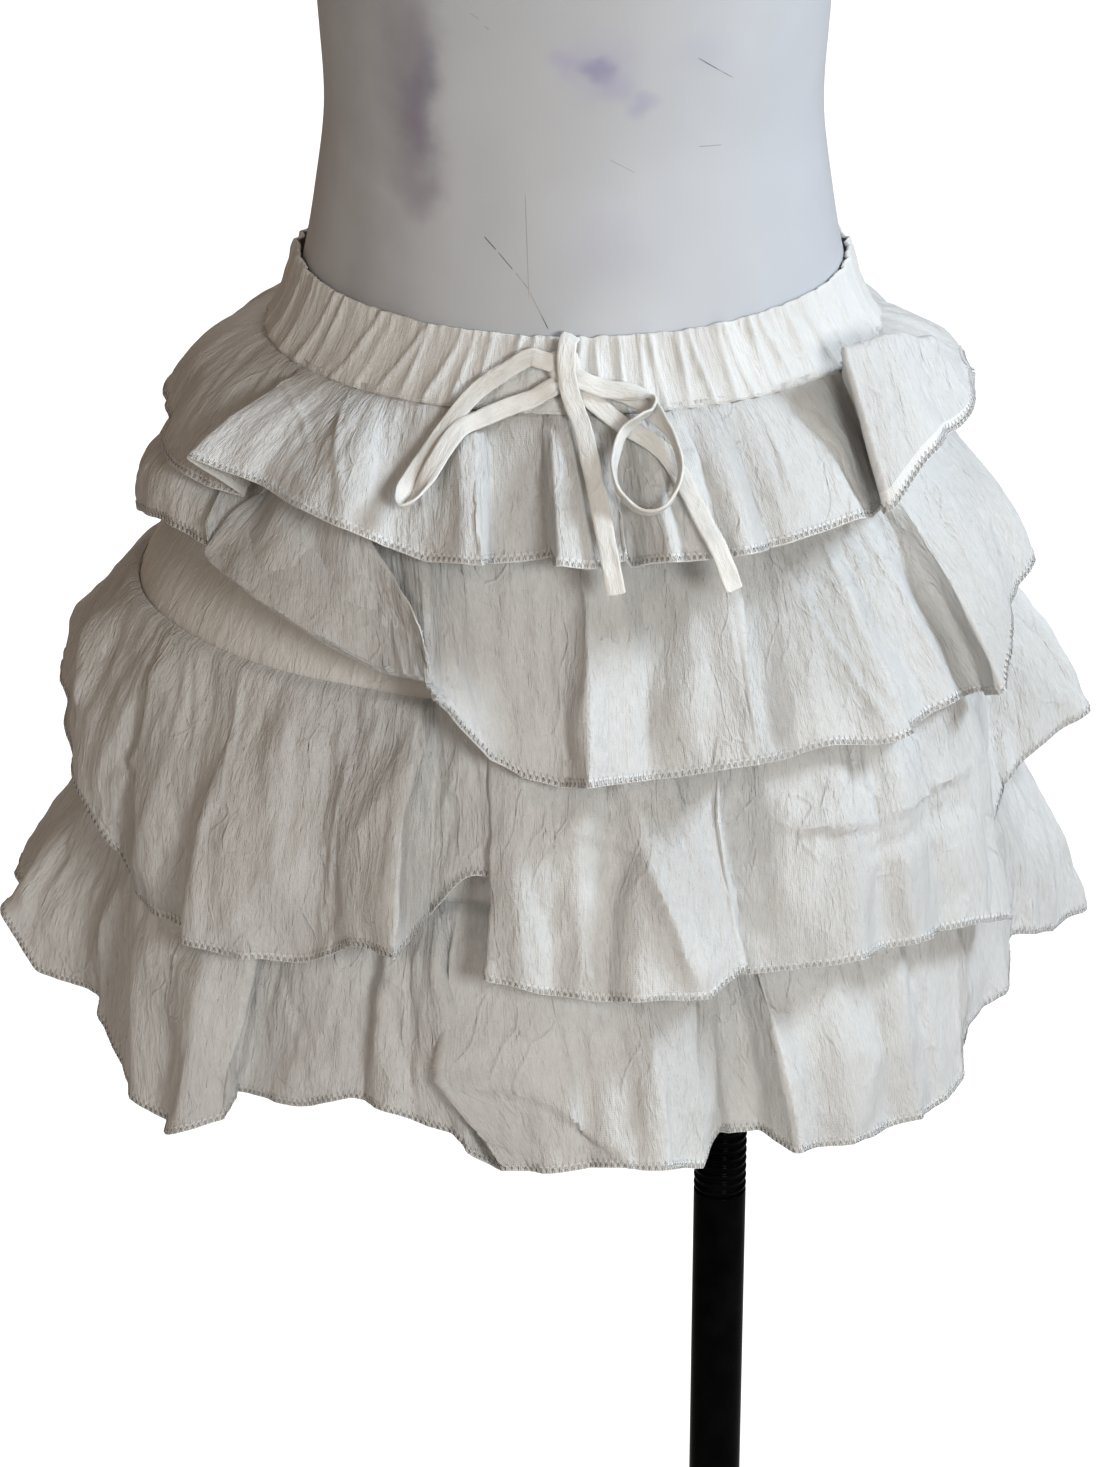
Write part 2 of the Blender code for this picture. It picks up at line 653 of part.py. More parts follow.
def add_turned(name, profile, collection, colour, roughness, metallic, steps=32):
    """A profile of radius and height, from the top down its outer side, turned round the pole's axis."""
    mesh = bpy.data.meshes.new(name)
    mesh.from_pydata([(r, 0, z) for r, z in profile], [(i, i + 1) for i in range(len(profile) - 1)], [])
    obj = bpy.data.objects.new(name, mesh)
    collection.objects.link(obj)
    screw = obj.modifiers.new("turn", "SCREW")
    screw.steps = screw.render_steps = steps
    screw.use_merge_vertices = True
    screw.merge_threshold = 1e-5
    screw.use_smooth_shade = True
    mesh.materials.append(new_material(name, colour, roughness, metallic))
    return obj


def build_stand(collection):
    black = (0.01, 0.01, 0.01)
    # Base: a low dome with a flat underside.
    add_turned(
        "stand_base",
        (
            (0, BASE_HEIGHT),
            (SOCKET_RADIUS + 8 * MM, BASE_HEIGHT),
            (BASE_RADIUS * 0.6, BASE_HEIGHT - 3 * MM),
            (BASE_RADIUS * 0.92, BASE_EDGE + 3 * MM),
            (BASE_RADIUS - 1.5 * MM, BASE_EDGE),
            (BASE_RADIUS, BASE_EDGE - 2 * MM),
            (BASE_RADIUS, 1.5 * MM),
            (BASE_RADIUS - 1.5 * MM, 0),
            (0, 0),
        ),
        collection, black, 0.3, 0.6, steps=48,
    )
    # Socket that the pole stands in.
    low = BASE_HEIGHT + 0.3 * MM
    add_turned(
        "stand_socket",
        (
            (POLE_RADIUS + 0.3 * MM, low + SOCKET_HEIGHT),
            (SOCKET_RADIUS - 5 * MM, low + SOCKET_HEIGHT),
            (SOCKET_RADIUS - 3 * MM, low + SOCKET_HEIGHT - 2 * MM),
            (SOCKET_RADIUS - 3 * MM, low + 8 * MM),
            (SOCKET_RADIUS + 4 * MM, low + 4 * MM),
            (SOCKET_RADIUS + 4 * MM, low),
            (POLE_RADIUS + 0.3 * MM, low),
            (POLE_RADIUS + 0.3 * MM, low + SOCKET_HEIGHT),
        ),
        collection, black, 0.3, 0.6,
    )
    top = FORM[0][0] * MM - 0.3 * MM
    add_turned(
        "stand_pole_lower",
        ((0, THREAD_LOW - 0.3 * MM), (POLE_RADIUS, THREAD_LOW - 0.3 * MM), (POLE_RADIUS, low), (0, low)),
        collection, black, 0.2, 0.6,
    )
    # Threaded sleeve: one groove for each turn of the thread.
    profile = [(0, THREAD_HIGH), (THREAD_RADIUS - THREAD_DEPTH, THREAD_HIGH)]
    z = THREAD_HIGH
    while z - THREAD_PITCH >= THREAD_LOW - 1e-6:
        profile += [(THREAD_RADIUS, z - THREAD_PITCH * 0.3), (THREAD_RADIUS, z - THREAD_PITCH * 0.6)]
        profile += [(THREAD_RADIUS - THREAD_DEPTH, z - THREAD_PITCH * 0.9), (THREAD_RADIUS - THREAD_DEPTH, z - THREAD_PITCH)]
        z -= THREAD_PITCH
    profile.append((0, THREAD_LOW))
    add_turned("stand_thread", profile, collection, black, 0.25, 0.6, steps=16)
    add_turned(
        "stand_pole_upper",
        ((0, top), (POLE_RADIUS - 1 * MM, top), (POLE_RADIUS - 1 * MM, THREAD_HIGH + 0.3 * MM), (0, THREAD_HIGH + 0.3 * MM)),
        collection, black, 0.2, 0.6,
    )


def main():
    clear_scene()
    collection = bpy.data.collections.new("tiered_skort_on_form")
    bpy.context.scene.collection.children.link(collection)
    build_form(collection)
    build_stand(collection)
    build_shorts(collection)
    build_base_skirt(collection)
    build_tiers(collection)
    build_waistband(collection)
    build_tie(collection)


main()
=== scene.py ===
"""The looks of a tiered cotton skort on a limbless dress form with a pole stand.

The form is placed as in the frame: metres, +Z up, the wearer's front towards -Y, the
form's upright axis 77 mm to the wearer's right of the pole. Cloth pieces are thin shells
whose folds come from the same short tables as the solids, with gathers, creases, hems
and stitching added here.
"""
import math

import bpy
import numpy as np
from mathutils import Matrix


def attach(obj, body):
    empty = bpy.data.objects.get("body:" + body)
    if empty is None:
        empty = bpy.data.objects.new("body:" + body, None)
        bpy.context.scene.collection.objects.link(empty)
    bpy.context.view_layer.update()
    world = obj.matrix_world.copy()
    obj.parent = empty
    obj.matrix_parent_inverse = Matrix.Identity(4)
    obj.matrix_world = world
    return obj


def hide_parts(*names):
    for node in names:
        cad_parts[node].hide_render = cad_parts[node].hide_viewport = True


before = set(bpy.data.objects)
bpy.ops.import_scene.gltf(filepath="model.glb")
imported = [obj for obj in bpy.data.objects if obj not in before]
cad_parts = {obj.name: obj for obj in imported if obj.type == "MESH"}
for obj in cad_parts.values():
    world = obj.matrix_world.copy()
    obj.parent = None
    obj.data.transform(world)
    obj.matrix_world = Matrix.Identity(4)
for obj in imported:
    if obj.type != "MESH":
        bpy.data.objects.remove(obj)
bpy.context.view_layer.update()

MM = 0.001
FORM_AXIS_X = -0.077
CLOTH = 0.7 * MM         # wall of the shells
TURN_AT = 0.55
TURN_HALF = 0.05
TIE_WIDTH = 8.6 * MM
TIE_WALL = 1.9 * MM
POLE_RADIUS = 13.5 * MM

# Waistband, outer face, millimetres: height, half width, half depth, dip in front.
BAND = (
    (1000, 130, 101.8, -8),
    (990, 133, 105.8, -6),
    (975, 139, 113, -2),
    (963, 146, 121, 0),
)

# Base skirt, outer face: height, half width on the wearer's right, on the left, half depth.
BASE_SKIRT = (
    (961.4, 145.0, 145.0, 120.0),
    (925, 158.8, 156.8, 129.8),
    (880, 183, 173, 145),
    (838, 209, 192, 160),
    (785, 216, 200.5, 169),
    (735, 218, 206.6, 176),
)

# Shorts, outer face of one leg: height, how far its centre is out, half width, half depth.
SHORTS = (
    (960.4, 0, 142.0, 116.4),
    (925, 0, 152.5, 122),
    (880, 0, 164, 131),
    (838, 4, 164, 134),
    (795, 14, 154, 134),
    (765, 36, 132, 128),
    (743, 61, 107, 117),
    (728, 77, 90, 109),
    (718, 84.5, 83.6, 106),
    (696, 87, 82.5, 103),
    (670, 89, 82, 101),
)

# Gathering seam of each tier, inner face: half width right, left, half depth, height.
SEAMS = {
    1: (147.5, 147.5, 122.5, 961),
    2: (160.5, 158.5, 131.5, 926),
    3: (211.5, 194.5, 162.5, 838),
    4: (220, 208.5, 178, 742),
}

# Fold tables, inner face of the cloth. Columns:
#   seam    degrees round the form at the gathering seam, 0 in front, + to the wearer's left
#   hem     degrees at the hem
#   reach   millimetres from the form's axis to the hem
#   height  of the hem, millimetres
#   swell   how far the line bows out between seam and hem, millimetres
#   soft    how rounded the fold is, from 0 to 0.5 of the way to the next one
#   turn    only where the hem is turned up: degrees, reach and height of the fold line
TIERS = {
    1: (
        (-178, -178, 186, 918, 5, 0.40),
        (-168, -165, 198, 921, 4, 0.20),
        (-158, -161, 178, 912, 2, 0.20),
        (-146, -143, 196, 919, 4, 0.30),
        (-133, -132, 182, 915, 3, 0.40),
        (-120, -119, 200, 921, 5, 0.30),
        (-106, -105, 196, 917, 4, 0.50),
        (-92, -92, 199, 919, 9, 0.50),
        (-78, -73, 197, 915, 5, 0.40),
        (-68, -62, 189, 914, 2, 0.15),
        (-65, -57, 178, 912, 0, 0.15),
        (-62, -58, 201, 935, 3, 0.06),
        (-50, -46, 190, 930, 3, 0.40),
        (-42, -33, 190, 926, 3, 0.40),
        (-37, -27, 190, 919, 3, 0.10),
        (-29, -21.5, 187, 915, 3, 0.30),
        (-21, -12.2, 190, 918, 3, 0.05),
        (-18, -12.5, 170, 910, -1, 0.10),
        (-7, -4, 167, 914, -1, 0.10),
        (-5, -2, 186, 917, 2, 0.06),
        (1, 2.5, 184, 914, 2, 0.30),
        (7, 7.4, 187, 921, 3, 0.10),
        (9, 8.4, 177, 912, 0, 0.15),
        (13, 13, 188, 918, 3, 0.30),
        (20, 18.5, 190, 918, 3, 0.40),
        (27, 23.5, 192, 918, 3, 0.15),
        (33, 29, 186, 916, 1, 0.30),
        (42, 36, 190, 920, 3, 0.30),
        (49, 42.5, 190, 921, 3, 0.30),
        (54, 47, 182, 914, 0, 0.15),
        (61, 60, 176, 912, -1, 0.20),
        (63, 46, 197, 922, 4, 0.06, 51.5, 155, 985),
        (68, 55, 195, 940, 5, 0.30, 62.5, 161, 986),
        (76, 66, 194, 940, 6, 0.30, 71.5, 170, 975),
        (84, 82, 192, 947, 5, 0.15, 82.5, 175, 960),
        (95, 96, 186, 938, 5, 0.30),
        (106, 107, 184, 922, 3, 0.40),
        (118, 118, 198, 921, 4, 0.30),
        (131, 130, 182, 914, 3, 0.30),
        (143, 144, 197, 920, 4, 0.25),
        (156, 155, 181, 914, 2, 0.30),
        (169, 168, 199, 922, 4, 0.25),
    ),
    2: (
        (-179, -179, 214, 822, 6, 0.40),
        (-168, -170, 194, 814, 4, 0.30),
        (-157, -156, 215, 823, 6, 0.25),
        (-146, -147, 200, 817, 4, 0.30),
        (-134, -135, 219, 826, 6, 0.30),
        (-122, -122, 208, 832, 5, 0.40),
        (-110, -108, 214, 852, 6, 0.40),
        (-98, -97, 205, 872, 12, 0.50),
        (-86, -84, 202, 877, 18, 0.50),
        (-76, -69, 201, 890, 10, 0.40),
        (-72, -60, 192, 886, 4, 0.15),
        (-69, -57, 157, 927, 0, 0.25, -57.5, 203, 884.5),
        (-60, -47.5, 162, 932, 0, 0.30, -46.5, 204, 876.5),
        (-50, -39, 165, 931, 0, 0.30, -33.5, 205, 865),
        (-42, -32.5, 170, 911, 0, 0.30, -24.5, 204, 860),
        (-36, -20.8, 194, 888.5, 0, 0.20, -19, 204, 859.5),
        (-30, -17.1, 203, 854.5, 0, 0.10, -17.4, 204, 858),
        (-25, -10.8, 204, 829, 3, 0.08),
        (-14, -6.2, 203, 821, 3, 0.30),
        (-6, -1.5, 200, 815, 2, 0.30),
        (2, 1.5, 207, 819, 4, 0.20),
        (14, 11, 205, 820, 4, 0.40),
        (26, 23.2, 211, 824, 5, 0.05),
        (28.5, 24.2, 186, 810, 0, 0.10),
        (33, 30, 190, 812, 0, 0.30),
        (37.5, 36, 200, 818, 2, 0.30),
        (40.5, 42, 198, 811, 3, 0.40),
        (43, 47.5, 206, 812, 3, 0.12),
        (48, 55, 205, 812, 3, 0.30),
        (53, 61, 204, 812, 1, 0.20),
        (57, 67.5, 205, 806, 0, 0.20),
        (61, 63.2, 221, 815, 5, 0.06),
        (73, 70, 219, 840, 6, 0.30),
        (84, 80, 220, 852, 7, 0.20),
        (95, 92, 210, 848, 6, 0.40),
        (106, 106, 216, 830, 6, 0.30),
        (118, 119, 203, 818, 3, 0.30),
        (130, 131, 217, 823, 6, 0.25),
        (142, 141, 199, 815, 3, 0.40),
        (154, 155, 218, 824, 6, 0.25),
        (167, 168, 202, 817, 4, 0.30),
    ),
    3: (
        (-179, -178, 232, 722, 7, 0.35),
        (-167, -168, 212, 715, 3, 0.30),
        (-156, -155, 236, 724, 7, 0.25),
        (-144, -144, 216, 716, 4, 0.30),
        (-132, -133, 240, 728, 8, 0.30),
        (-120, -120, 228, 732, 6, 0.40),
        (-108, -107, 248, 756, 8, 0.40),
        (-97, -96, 254, 772, 7, 0.50),
        (-86, -84, 252, 760, 9, 0.50),
        (-76, -74, 241, 742, 10, 0.40),
        (-65, -64, 230, 705, 8, 0.30),
        (-55, -53, 222, 704, 5, 0.30),
        (-46, -44, 221, 707, 5, 0.30),
        (-38, -37, 221, 712, 5, 0.30),
        (-30, -27, 219, 733, 5, 0.30),
        (-24, -20.5, 222, 732, 5, 0.06),
        (-22, -20, 197, 742, 0, 0.10),
        (-17, -14, 195, 766, 0, 0.30),
        (-13, -8, 197, 768, 1, 0.20),
        (-12, -10, 220, 726, 4, 0.10),
        (-6, -4, 222, 722, 5, 0.20),
        (2, 2, 220, 718, 4, 0.30),
        (8, 7, 222, 718, 4, 0.30),
        (15, 14.5, 220, 716, 5, 0.10),
        (22, 20.3, 224, 727, 6, 0.08),
        (25, 21.5, 206, 716, 0, 0.15),
        (33, 28, 217, 718, 2, 0.30),
        (42, 36, 222, 718, 3, 0.40),
        (50, 45, 226, 715, 4, 0.40),
        (60, 55, 227, 708, 3, 0.40),
        (68, 66, 231, 692, 3, 0.15),
        (74, 71, 212, 728, 1, 0.20),
        (79, 76, 211, 742, 1, 0.20),
        (83, 80, 230, 757, 3, 0.15),
        (88, 86, 250, 766, 7, 0.15),
        (100, 99, 236, 764, 7, 0.30),
        (112, 112, 238, 732, 7, 0.30),
        (124, 125, 218, 718, 4, 0.30),
        (136, 136, 238, 726, 7, 0.25),
        (148, 148, 216, 716, 4, 0.30),
        (160, 161, 236, 724, 7, 0.25),
        (171, 172, 217, 717, 4, 0.30),
    ),
    4: (
        (-179, -179, 236, 622, 6, 0.35),
        (-168, -168, 214, 616, 3, 0.30),
        (-157, -156, 238, 625, 7, 0.25),
        (-146, -145, 218, 617, 4, 0.30),
        (-134, -134, 244, 628, 8, 0.30),
        (-122, -121, 234, 634, 8, 0.40),
        (-110, -108, 264, 652, 7, 0.40),
        (-98, -94, 281, 660, 2, 0.40),
        (-88, -85, 282, 658, 2, 0.20),
        (-82, -81, 268, 634, 5, 0.15),
        (-76, -74, 239, 634, 5, 0.15),
        (-70, -68, 240, 610, 7, 0.30),
        (-60, -58, 239, 604, 7, 0.35),
        (-52, -51.5, 240, 605, 7, 0.20),
        (-46, -47, 229, 617, 4, 0.08),
        (-44, -50.5, 207, 620, 1, 0.15),
        (-38, -38, 205, 628, 1, 0.35),
        (-30, -31, 206, 642, 1, 0.20),
        (-25, -24, 208, 642, 2, 0.30),
        (-21, -15.5, 214, 637, 2, 0.30),
        (-19, -9.3, 214, 622, 2, 0.10),
        (-17, -8.4, 231, 632, 0, 0.08, -16.4, 224, 672),
        (-10, -2, 228, 632, 4, 0.30),
        (0, 4.6, 224, 634, 3, 0.30),
        (8, 10.5, 224, 630, 3, 0.30),
        (16, 16.2, 228, 628, 5, 0.08),
        (18, 19.5, 212, 636, 2, 0.10),
        (20, 21.5, 205, 630, 0, 0.30),
        (22, 25, 207, 630, 0, 0.20),
        (24, 27, 226, 627, 5, 0.08),
        (36, 34, 226, 624, 4, 0.40),
        (45, 44, 228, 620, 4, 0.30),
        (52, 51, 230, 618, 4, 0.15),
        (60, 58, 224, 617, 3, 0.20),
        (63, 60, 221, 640, 3, 0.15),
        (68, 66, 216, 640, 2, 0.15),
        (73, 71, 221, 640, 4, 0.15),
        (77, 75, 219, 664, 3, 0.20),
        (84, 82, 242, 653, 5, 0.12),
        (91, 89, 258, 650, 6, 0.15),
        (102, 101, 240, 648, 6, 0.30),
        (113, 112, 244, 634, 8, 0.30),
        (124, 124, 220, 620, 4, 0.30),
        (136, 136, 240, 627, 7, 0.25),
        (148, 149, 219, 618, 4, 0.30),
        (160, 161, 238, 625, 7, 0.25),
        (171, 171, 218, 617, 4, 0.30),
    ),
}
# The tie, its centre line in millimetres: across from the form's axis (+ to the wearer's
# left), out in front of it, height, and roll in degrees: 0 lies flat, 90 stands on edge.
TIE = {
    "tie_tail_front": (
        (-1.6, 103.2, 993.6, 0),
        (-2.9, 109.8, 993.6, 0),
        (-3.7, 115.8, 989.4, 0),
        (-3.6, 120.0, 983.0, 0),
        (-2.2, 122.8, 975.0, 0),
        (0.5, 126.0, 967.0, 0),
        (3.7, 133.6, 960.4, 0),
        (8.5, 155.0, 945.8, 0),
        (12.8, 176.5, 930.8, 0),
        (15.8, 191.0, 919.0, 0),
        (17.9, 194.5, 908.2, 0),
    ),
    "tie_loop_left": (
        (-15.4, 112.4, 986.0, 0),
        (-20.5, 110.9, 986.2, 0),
        (-30.0, 112.0, 980.8, 0),
        (-43.5, 115.6, 972.4, 0),
        (-56.0, 125.6, 960.6, 0),
        (-67.0, 140.6, 949.8, 0),
        (-74.5, 153.5, 941.8, 25),
        (-77.8, 160.2, 938.2, 80),
        (-76.0, 164.0, 936.6, 90),
        (-71.5, 161.5, 939.0, 60),
        (-65.5, 153.0, 945.8, 15),
        (-59.0, 142.0, 953.6, 0),
        (-51.5, 131.0, 959.8, 0),
        (-43.0, 126.0, 962.4, 0),
        (-29.0, 122.5, 967.4, 0),
        (-19.5, 121.0, 970.2, 0),
        (-14.4, 119.6, 972.8, 0),
    ),
    "tie_loop_right": (
        (4.4, 119.2, 978.2, 0),
        (12.0, 119.8, 975.0, 0),
        (22.0, 120.4, 974.0, 0),
        (30.0, 122.4, 973.4, 35),
        (35.2, 125.4, 971.8, 90),
        (33.6, 130.4, 968.4, 90),
        (28.5, 135.2, 967.0, 80),
        (21.4, 139.0, 961.0, 70),
        (17.4, 153.5, 953.0, 70),
        (18.6, 165.8, 946.4, 85),
        (25.3, 169.8, 939.0, 90),
        (33.2, 173.0, 937.8, 90),
        (40.2, 171.8, 940.6, 90),
        (45.6, 164.2, 947.4, 90),
        (46.6, 154.4, 953.8, 90),
        (43.4, 143.6, 961.4, 85),
        (38.4, 133.4, 965.4, 60),
        (32.6, 122.4, 967.4, 15),
        (24.0, 117.4, 970.6, 0),
        (13.0, 115.6, 973.6, 0),
        (4.8, 114.8, 976.0, 0),
    ),
    "tie_tail_side": (
        (6.8, 121.2, 970.6, 0),
        (12.0, 123.4, 966.8, 0),
        (21.2, 128.6, 961.2, 0),
        (32.2, 136.2, 957.6, 0),
        (41.5, 144.0, 951.8, 0),
        (48.8, 155.8, 944.0, 0),
        (57.4, 173.0, 932.0, 0),
        (62.2, 183.0, 926.4, 0),
        (66.0, 188.4, 919.0, 0),
        (69.8, 191.0, 908.8, 0),
    ),
}
# Knot: across, out, height, width, thickness, length, lean back in degrees.
KNOT = (-4.6, 111.9, 983.0, 14.0, 7.6, 14.0, 35)

# Dress form: height, half width, half depth, forward shift, millimetres.
FORM = (
    (742, 92, 66, 0),
    (745, 108, 80, 0),
    (752, 126, 96, 0),
    (766, 142, 111, 0),
    (785, 152, 120, 0),
    (810, 158, 125, 0),
    (845, 159, 126, 0),
    (880, 155.5, 123, 0),
    (915, 149.5, 118, 0),
    (945, 142, 112, 0),
    (972, 134, 103.4, 0),
    (1000, 126, 96.4, 0),
    (1030, 120.5, 92.5, 0),
    (1070, 115.4, 90, 0),
    (1110, 116.8, 91.5, 1),
    (1150, 120, 96, 3),
    (1190, 127.5, 103, 5),
    (1230, 136, 110, 7),
    (1265, 143, 112, 7),
    (1300, 150, 107, 4),
    (1335, 159, 98, 0),
    (1362, 167, 89, -3),
    (1384, 168, 80, -5),
    (1400, 160, 73, -7),
    (1412, 144, 69, -9),
    (1422, 120, 65, -10),
    (1432, 95, 62, -10),
    (1444, 73, 60, -9),
    (1460, 61, 58, -7),
    (1485, 56.5, 55.5, -4),
    (1512, 55, 54, -2),
    (1517, 53.5, 52.5, -2),
    (1520, 50, 49, -2),
)

# The fold at each side seam, the wearer's right then left.
SIDE_SEAMS = {1: (7, 34), 2: (7, 34), 3: (7, 34), 4: (7, 38)}

# ---------------------------------------------------------------- small tools


def point(degrees, radius, height):
    t = math.radians(degrees)
    return np.array((FORM_AXIS_X + radius * MM * math.sin(t), -radius * MM * math.cos(t), height * MM))


def ring_radius(degrees, right, left, depth):
    t = math.radians(degrees)
    wide = right if math.sin(t) < 0 else left
    return 1.0 / math.hypot(math.sin(t) / wide, math.cos(t) / depth)


def seam_point(tier, degrees):
    right, left, depth, height = SEAMS[tier]
    return point(degrees, ring_radius(degrees, right, left, depth), height)


def hashed(ix, iy, seed):
    """A number from -1 to 1 for each whole cell."""
    h = (ix.astype(np.int64) * 374761393 + iy.astype(np.int64) * 668265263 + seed * 974634777) & 0xFFFFFFFF
    h = ((h ^ (h >> 13)) * 1274126177) & 0xFFFFFFFF
    return ((h ^ (h >> 16)) & 0xFFFF) / 32767.5 - 1.0


def noise(x, y, seed, period=None):
    """Smooth value noise with cells of size 1; period wraps x after that many cells."""
    x, y = np.broadcast_arrays(np.asarray(x, float), np.asarray(y, float))
    ix, iy = np.floor(x), np.floor(y)
    fx, fy = x - ix, y - iy
    fx, fy = fx**3 * (fx * (6 * fx - 15) + 10), fy**3 * (fy * (6 * fy - 15) + 10)
    near, far = (ix, ix + 1) if period is None else (np.mod(ix, period), np.mod(ix + 1, period))
    low = hashed(near, iy, seed) * (1 - fx) + hashed(far, iy, seed) * fx
    high = hashed(near, iy + 1, seed) * (1 - fx) + hashed(far, iy + 1, seed) * fx
    return low * (1 - fy) + high * fy


def normals_of(grid, closed):
    """Unit normals of a grid of lines (across, down, 3)."""
    if closed:
        across = np.roll(grid, -1, 0) - np.roll(grid, 1, 0)
    else:
        across = np.gradient(grid, axis=0)
    down = np.gradient(grid, axis=1)
    n = np.cross(down, across)
    return n / np.maximum(np.linalg.norm(n, axis=2), 1e-12)[:, :, None]


def run_lengths(line):
    return np.concatenate(([0.0], np.cumsum(np.linalg.norm(np.diff(line, axis=0), axis=1))))


def collection(name):
    made = bpy.data.collections.new(name)
    bpy.context.scene.collection.children.link(made)
    return made


PIECES = collection("skort_and_form")
STAGE = collection("stage")


def mesh_object(name, points, faces, material, uvs=None, smooth=None):
    mesh = bpy.data.meshes.new(name)
    points = np.asarray(points, np.float64).reshape(-1, 3)
    faces = np.asarray(faces, np.int64)
    if faces.ndim == 2:
        size = faces.shape[1]
        mesh.vertices.add(len(points))
        mesh.vertices.foreach_set("co", points.ravel())
        mesh.loops.add(faces.size)
        mesh.loops.foreach_set("vertex_index", faces.ravel().astype(np.int32))
        mesh.polygons.add(len(faces))
        mesh.polygons.foreach_set("loop_start", np.arange(0, faces.size, size, dtype=np.int32))
        mesh.update(calc_edges=True)
    mesh.validate()
    if uvs is not None:
        layer = mesh.uv_layers.new(name="cloth")
        index = np.empty(len(mesh.loops), np.int32)
        mesh.loops.foreach_get("vertex_index", index)
        layer.data.foreach_set("uv", np.asarray(uvs, np.float64).reshape(-1, 2)[index].ravel())
    mesh.shade_smooth()
    if smooth is not None:
        mesh.set_sharp_from_angle(angle=math.radians(smooth))
    mesh.materials.append(material)
    obj = bpy.data.objects.new(name, mesh)
    PIECES.objects.link(obj)
    return obj


def grid_quads(across, down, closed, start=0, flip=False):
    i = np.arange(across if closed else across - 1)[:, None]
    k = np.arange(down - 1)[None, :]
    j = (i + 1) % across
    a, b, c, d = (i * down + k), (i * down + k + 1), (j * down + k + 1), (j * down + k)
    quads = np.stack(np.broadcast_arrays(a, b, c, d), -1).reshape(-1, 4) + start
    return quads[:, ::-1] if flip else quads


def shell(name, outer, wall, material, uv, closed=True, smooth=None, edge=None):
    """A thin closed shell under a grid of lines, wall thick, open at the top and the hem.

    edge is the row where the overlocked edge begins and its material."""
    across, down = outer.shape[:2]
    inner = outer - normals_of(outer, closed) * wall
    points = np.concatenate((outer.reshape(-1, 3), inner.reshape(-1, 3)))
    count = across * down
    faces = [grid_quads(across, down, closed), grid_quads(across, down, closed, count, True)]
    i = np.arange(across if closed else across - 1)
    j = (i + 1) % across
    faces.append(np.stack((i * down, j * down, count + j * down, count + i * down), 1))
    low = down - 1
    faces.append(np.stack((j * down + low, i * down + low, count + i * down + low, count + j * down + low), 1))
    if not closed:
        k = np.arange(down - 1)
        faces.append(np.stack((k + 1, k, count + k, count + k + 1), 1))
        last = (across - 1) * down
        faces.append(np.stack((last + k, last + k + 1, count + last + k + 1, count + last + k), 1))
    obj = mesh_object(name, points, np.concatenate(faces), material, np.concatenate((uv.reshape(-1, 2),) * 2), smooth)
    if edge is not None:
        first, paint = edge
        obj.data.materials.append(paint)
        index = np.zeros(len(obj.data.polygons), np.int32)
        sheet = np.tile((np.arange(down - 1) >= first).astype(np.int32), across if closed else across - 1)
        index[: 2 * len(sheet)] = np.concatenate((sheet, sheet))
        index[2 * len(sheet) + len(i) : 2 * len(sheet) + 2 * len(i)] = 1
        obj.data.polygons.foreach_set("material_index", index)
    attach(obj, "root")
    return obj


# ---------------------------------------------------------------- materials


def new_material(name):
    material = bpy.data.materials.new(name)
    material.use_nodes = True
    nodes, links = material.node_tree.nodes, material.node_tree.links
    shader = nodes["Principled BSDF"]
    return material, nodes, links, shader


